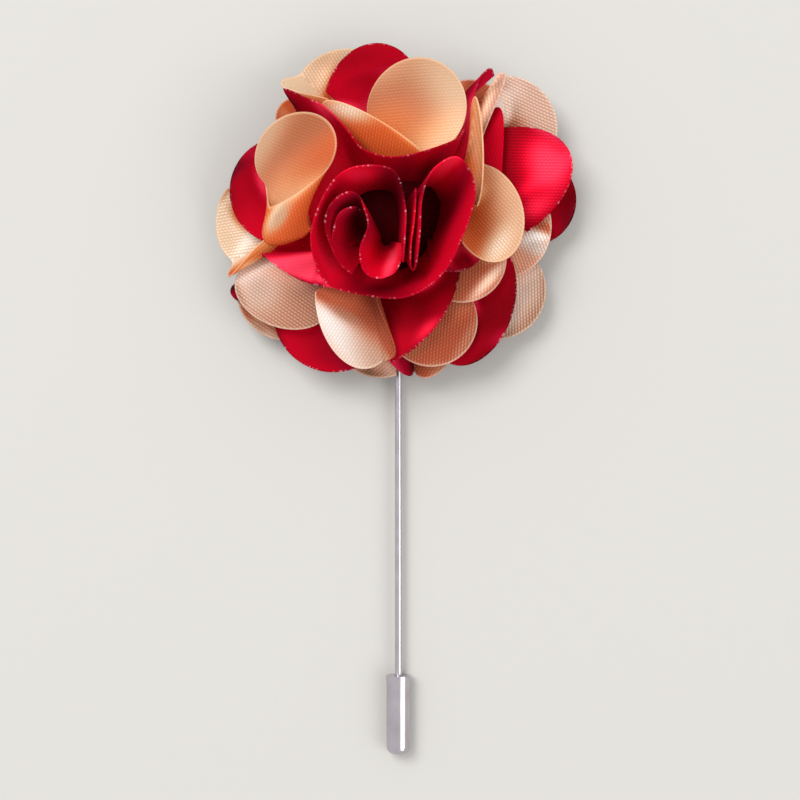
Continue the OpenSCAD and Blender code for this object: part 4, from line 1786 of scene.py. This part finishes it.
@dataclass(frozen=True)
class FeltDisc:
    """A round of felt with a soft, slightly uneven rim."""

    node: str
    radius: float
    low: float
    high: float
    seed: int
    edge: float = 0.3
    wobble: float = 0.08
    waves: tuple[int, int] = (3, 40)
    wave_share: float = 1 / 6
    fade: int = 6
    edge_steps: int = 5
    face_steps: int = 10
    steps: int = 240

    def build(self, finishes: Finishes) -> bpy.types.Object:
        """Make the disc.

        Formula: a profile of flat faces joined by a rounded edge is turned about Z, and its
        radius follows a sum of seeded cosines of the angle, which fades towards the middle
        by a power of the radius.

        Args:
            finishes: the materials.

        Returns:
            The disc.
        """
        bend = np.linspace(0, np.pi / 2, self.edge_steps)
        inner = np.linspace(0, 1, self.face_steps)[:-1] * (self.radius - self.edge)
        low_z = np.concatenate([0 * inner, self.edge * (1 - np.cos(bend))]) + self.low
        low_r = np.concatenate([inner, self.radius - self.edge + self.edge * np.sin(bend)])
        high_z = self.high - (low_z[::-1] - self.low)
        radius = np.concatenate([low_r, low_r[::-1]])[:, None]
        z = np.concatenate([low_z, high_z])[:, None]
        turn = np.linspace(0, 2 * np.pi, self.steps, endpoint=False)[None]
        chance = np.random.default_rng(self.seed)
        waves = 0 * turn
        for count in range(*self.waves):
            height, start = chance.uniform(0.2, 1), chance.uniform(0, 2 * np.pi)
            waves += height * np.cos(count * turn + start) / count**0.5
        uneven = self.wobble / self.radius * (1 + waves * self.wave_share)
        out = radius * (1 - uneven * (radius / self.radius) ** self.fade)
        points = np.stack([out * np.cos(turn), out * np.sin(turn), z + 0 * turn], axis=-1)
        piece = revolved(f"{self.node}_cloth", points)
        piece.data.materials.append(finishes.felt)
        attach(piece, BODY_FLOWER)
        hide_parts(self.node)
        LOG.info("%s: %.1f mm across", self.node, 2 * self.radius)
        return piece


@dataclass(frozen=True)
class Flower:
    """All the cloth of the flower, from the bud outwards, and its felt back."""

    petals: tuple[Petal, ...] = PETALS
    folds: tuple[Fold, ...] = FOLDS
    gather: RootGather = field(default_factory=RootGather)
    discs: tuple[FeltDisc, ...] = (
        FeltDisc("felt_base", 12.0, 1.1, 2.5, seed=5),
        FeltDisc("felt_back", 10.5, 0.0, 1.0, seed=9),
    )

    def build(self, finishes: Finishes) -> list[bpy.types.Object]:
        """Make every piece of the flower."""
        parts = (*self.petals, *self.folds, self.gather, *self.discs)
        return [part.build(finishes) for part in parts]


@dataclass(frozen=True)
class StickPin:
    """The needle and its end cap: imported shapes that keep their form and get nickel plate."""

    nodes: tuple[str, ...] = ("needle", "end_cap")

    def dress(self, finishes: Finishes) -> None:
        """Give both pieces their plate."""
        for node in self.nodes:
            piece = bpy.data.objects[node]
            piece.data.materials.clear()
            piece.data.materials.append(finishes.nickel)
            LOG.info("%s: nickel plate", node)


@dataclass(frozen=True)
class Lamp:
    """A square soft lamp that faces the flower: its place and side in metres, its watts."""

    name: str
    place: tuple[float, float, float]
    side: float
    power: float

    def hang(self) -> None:
        """Hang the lamp."""
        data = bpy.data.lights.new(self.name, "AREA")
        data.size, data.energy = self.side, self.power
        lamp = bpy.data.objects.new(self.name, data)
        lamp.location = self.place
        lamp.rotation_euler = (-Vector(self.place)).to_track_quat("-Z", "Y").to_euler()
        bpy.context.scene.collection.objects.link(lamp)


@dataclass(frozen=True)
class Setting:
    """A plain pale floor, soft studio light and the camera straight above the pin."""

    floor_size: float = 3.0
    floor_colour: tuple[float, float, float] = (188, 186, 182)
    floor_roughness: float = 0.9
    floor_gloss: float = 0.2
    lamps: tuple[Lamp, ...] = (
        Lamp("key", (-0.35, 0.35, 0.75), 0.45, 6.0),
        Lamp("fill", (0.5, -0.25, 0.6), 0.5, 2.2),
    )
    world: float = 0.8
    camera_at: tuple[float, float, float] = (0.19, -23.5, 230.0)
    lens: float = 82.26
    sensor: float = 36.0
    clip: tuple[float, float] = (0.01, 20.0)

    def floor(self) -> None:
        """Lay the floor, a plain pale sheet."""
        half = self.floor_size / 2
        corners = [(-half, -half, 0), (half, -half, 0), (half, half, 0), (-half, half, 0)]
        mesh = bpy.data.meshes.new("floor")
        mesh.from_pydata(corners, [], [(0, 1, 2, 3)])
        sheet = bpy.data.objects.new("floor", mesh)
        bpy.context.scene.collection.objects.link(sheet)
        kit = Nodes("pale_floor")
        kit.shader.inputs["Base Color"].default_value = linear(*self.floor_colour)
        kit.set_shader({"Roughness": self.floor_roughness, "Specular IOR Level": self.floor_gloss})
        mesh.materials.append(kit.material)

    def camera(self) -> None:
        """Set the camera straight above, looking down."""
        data = bpy.data.cameras.new("camera")
        data.lens, data.sensor_width = self.lens, self.sensor
        data.clip_start, data.clip_end = self.clip
        camera = bpy.data.objects.new("camera", data)
        camera.location = [c * MM for c in self.camera_at]
        bpy.context.scene.collection.objects.link(camera)
        bpy.context.scene.camera = camera

    def build(self) -> None:
        """Set up floor, light and camera."""
        scene = bpy.context.scene
        scene.view_settings.view_transform = "Standard"
        world = bpy.data.worlds.new("studio")
        world.use_nodes = True
        sky = world.node_tree.nodes["Background"]
        sky.inputs["Color"].default_value = (1, 1, 1, 1)
        sky.inputs["Strength"].default_value = self.world
        scene.world = world
        self.floor()
        for lamp in self.lamps:
            lamp.hang()
        self.camera()


def main() -> None:
    """Build the flower, dress the pin and set the scene."""
    logging.basicConfig(level=logging.INFO, format="%(name)s %(message)s")
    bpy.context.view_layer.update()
    finishes = Finishes.build()
    pieces = Flower().build(finishes)
    StickPin().dress(finishes)
    Setting().build()
    LOG.info("%d cloth pieces", len(pieces))


if __name__ == "__main__":
    main()
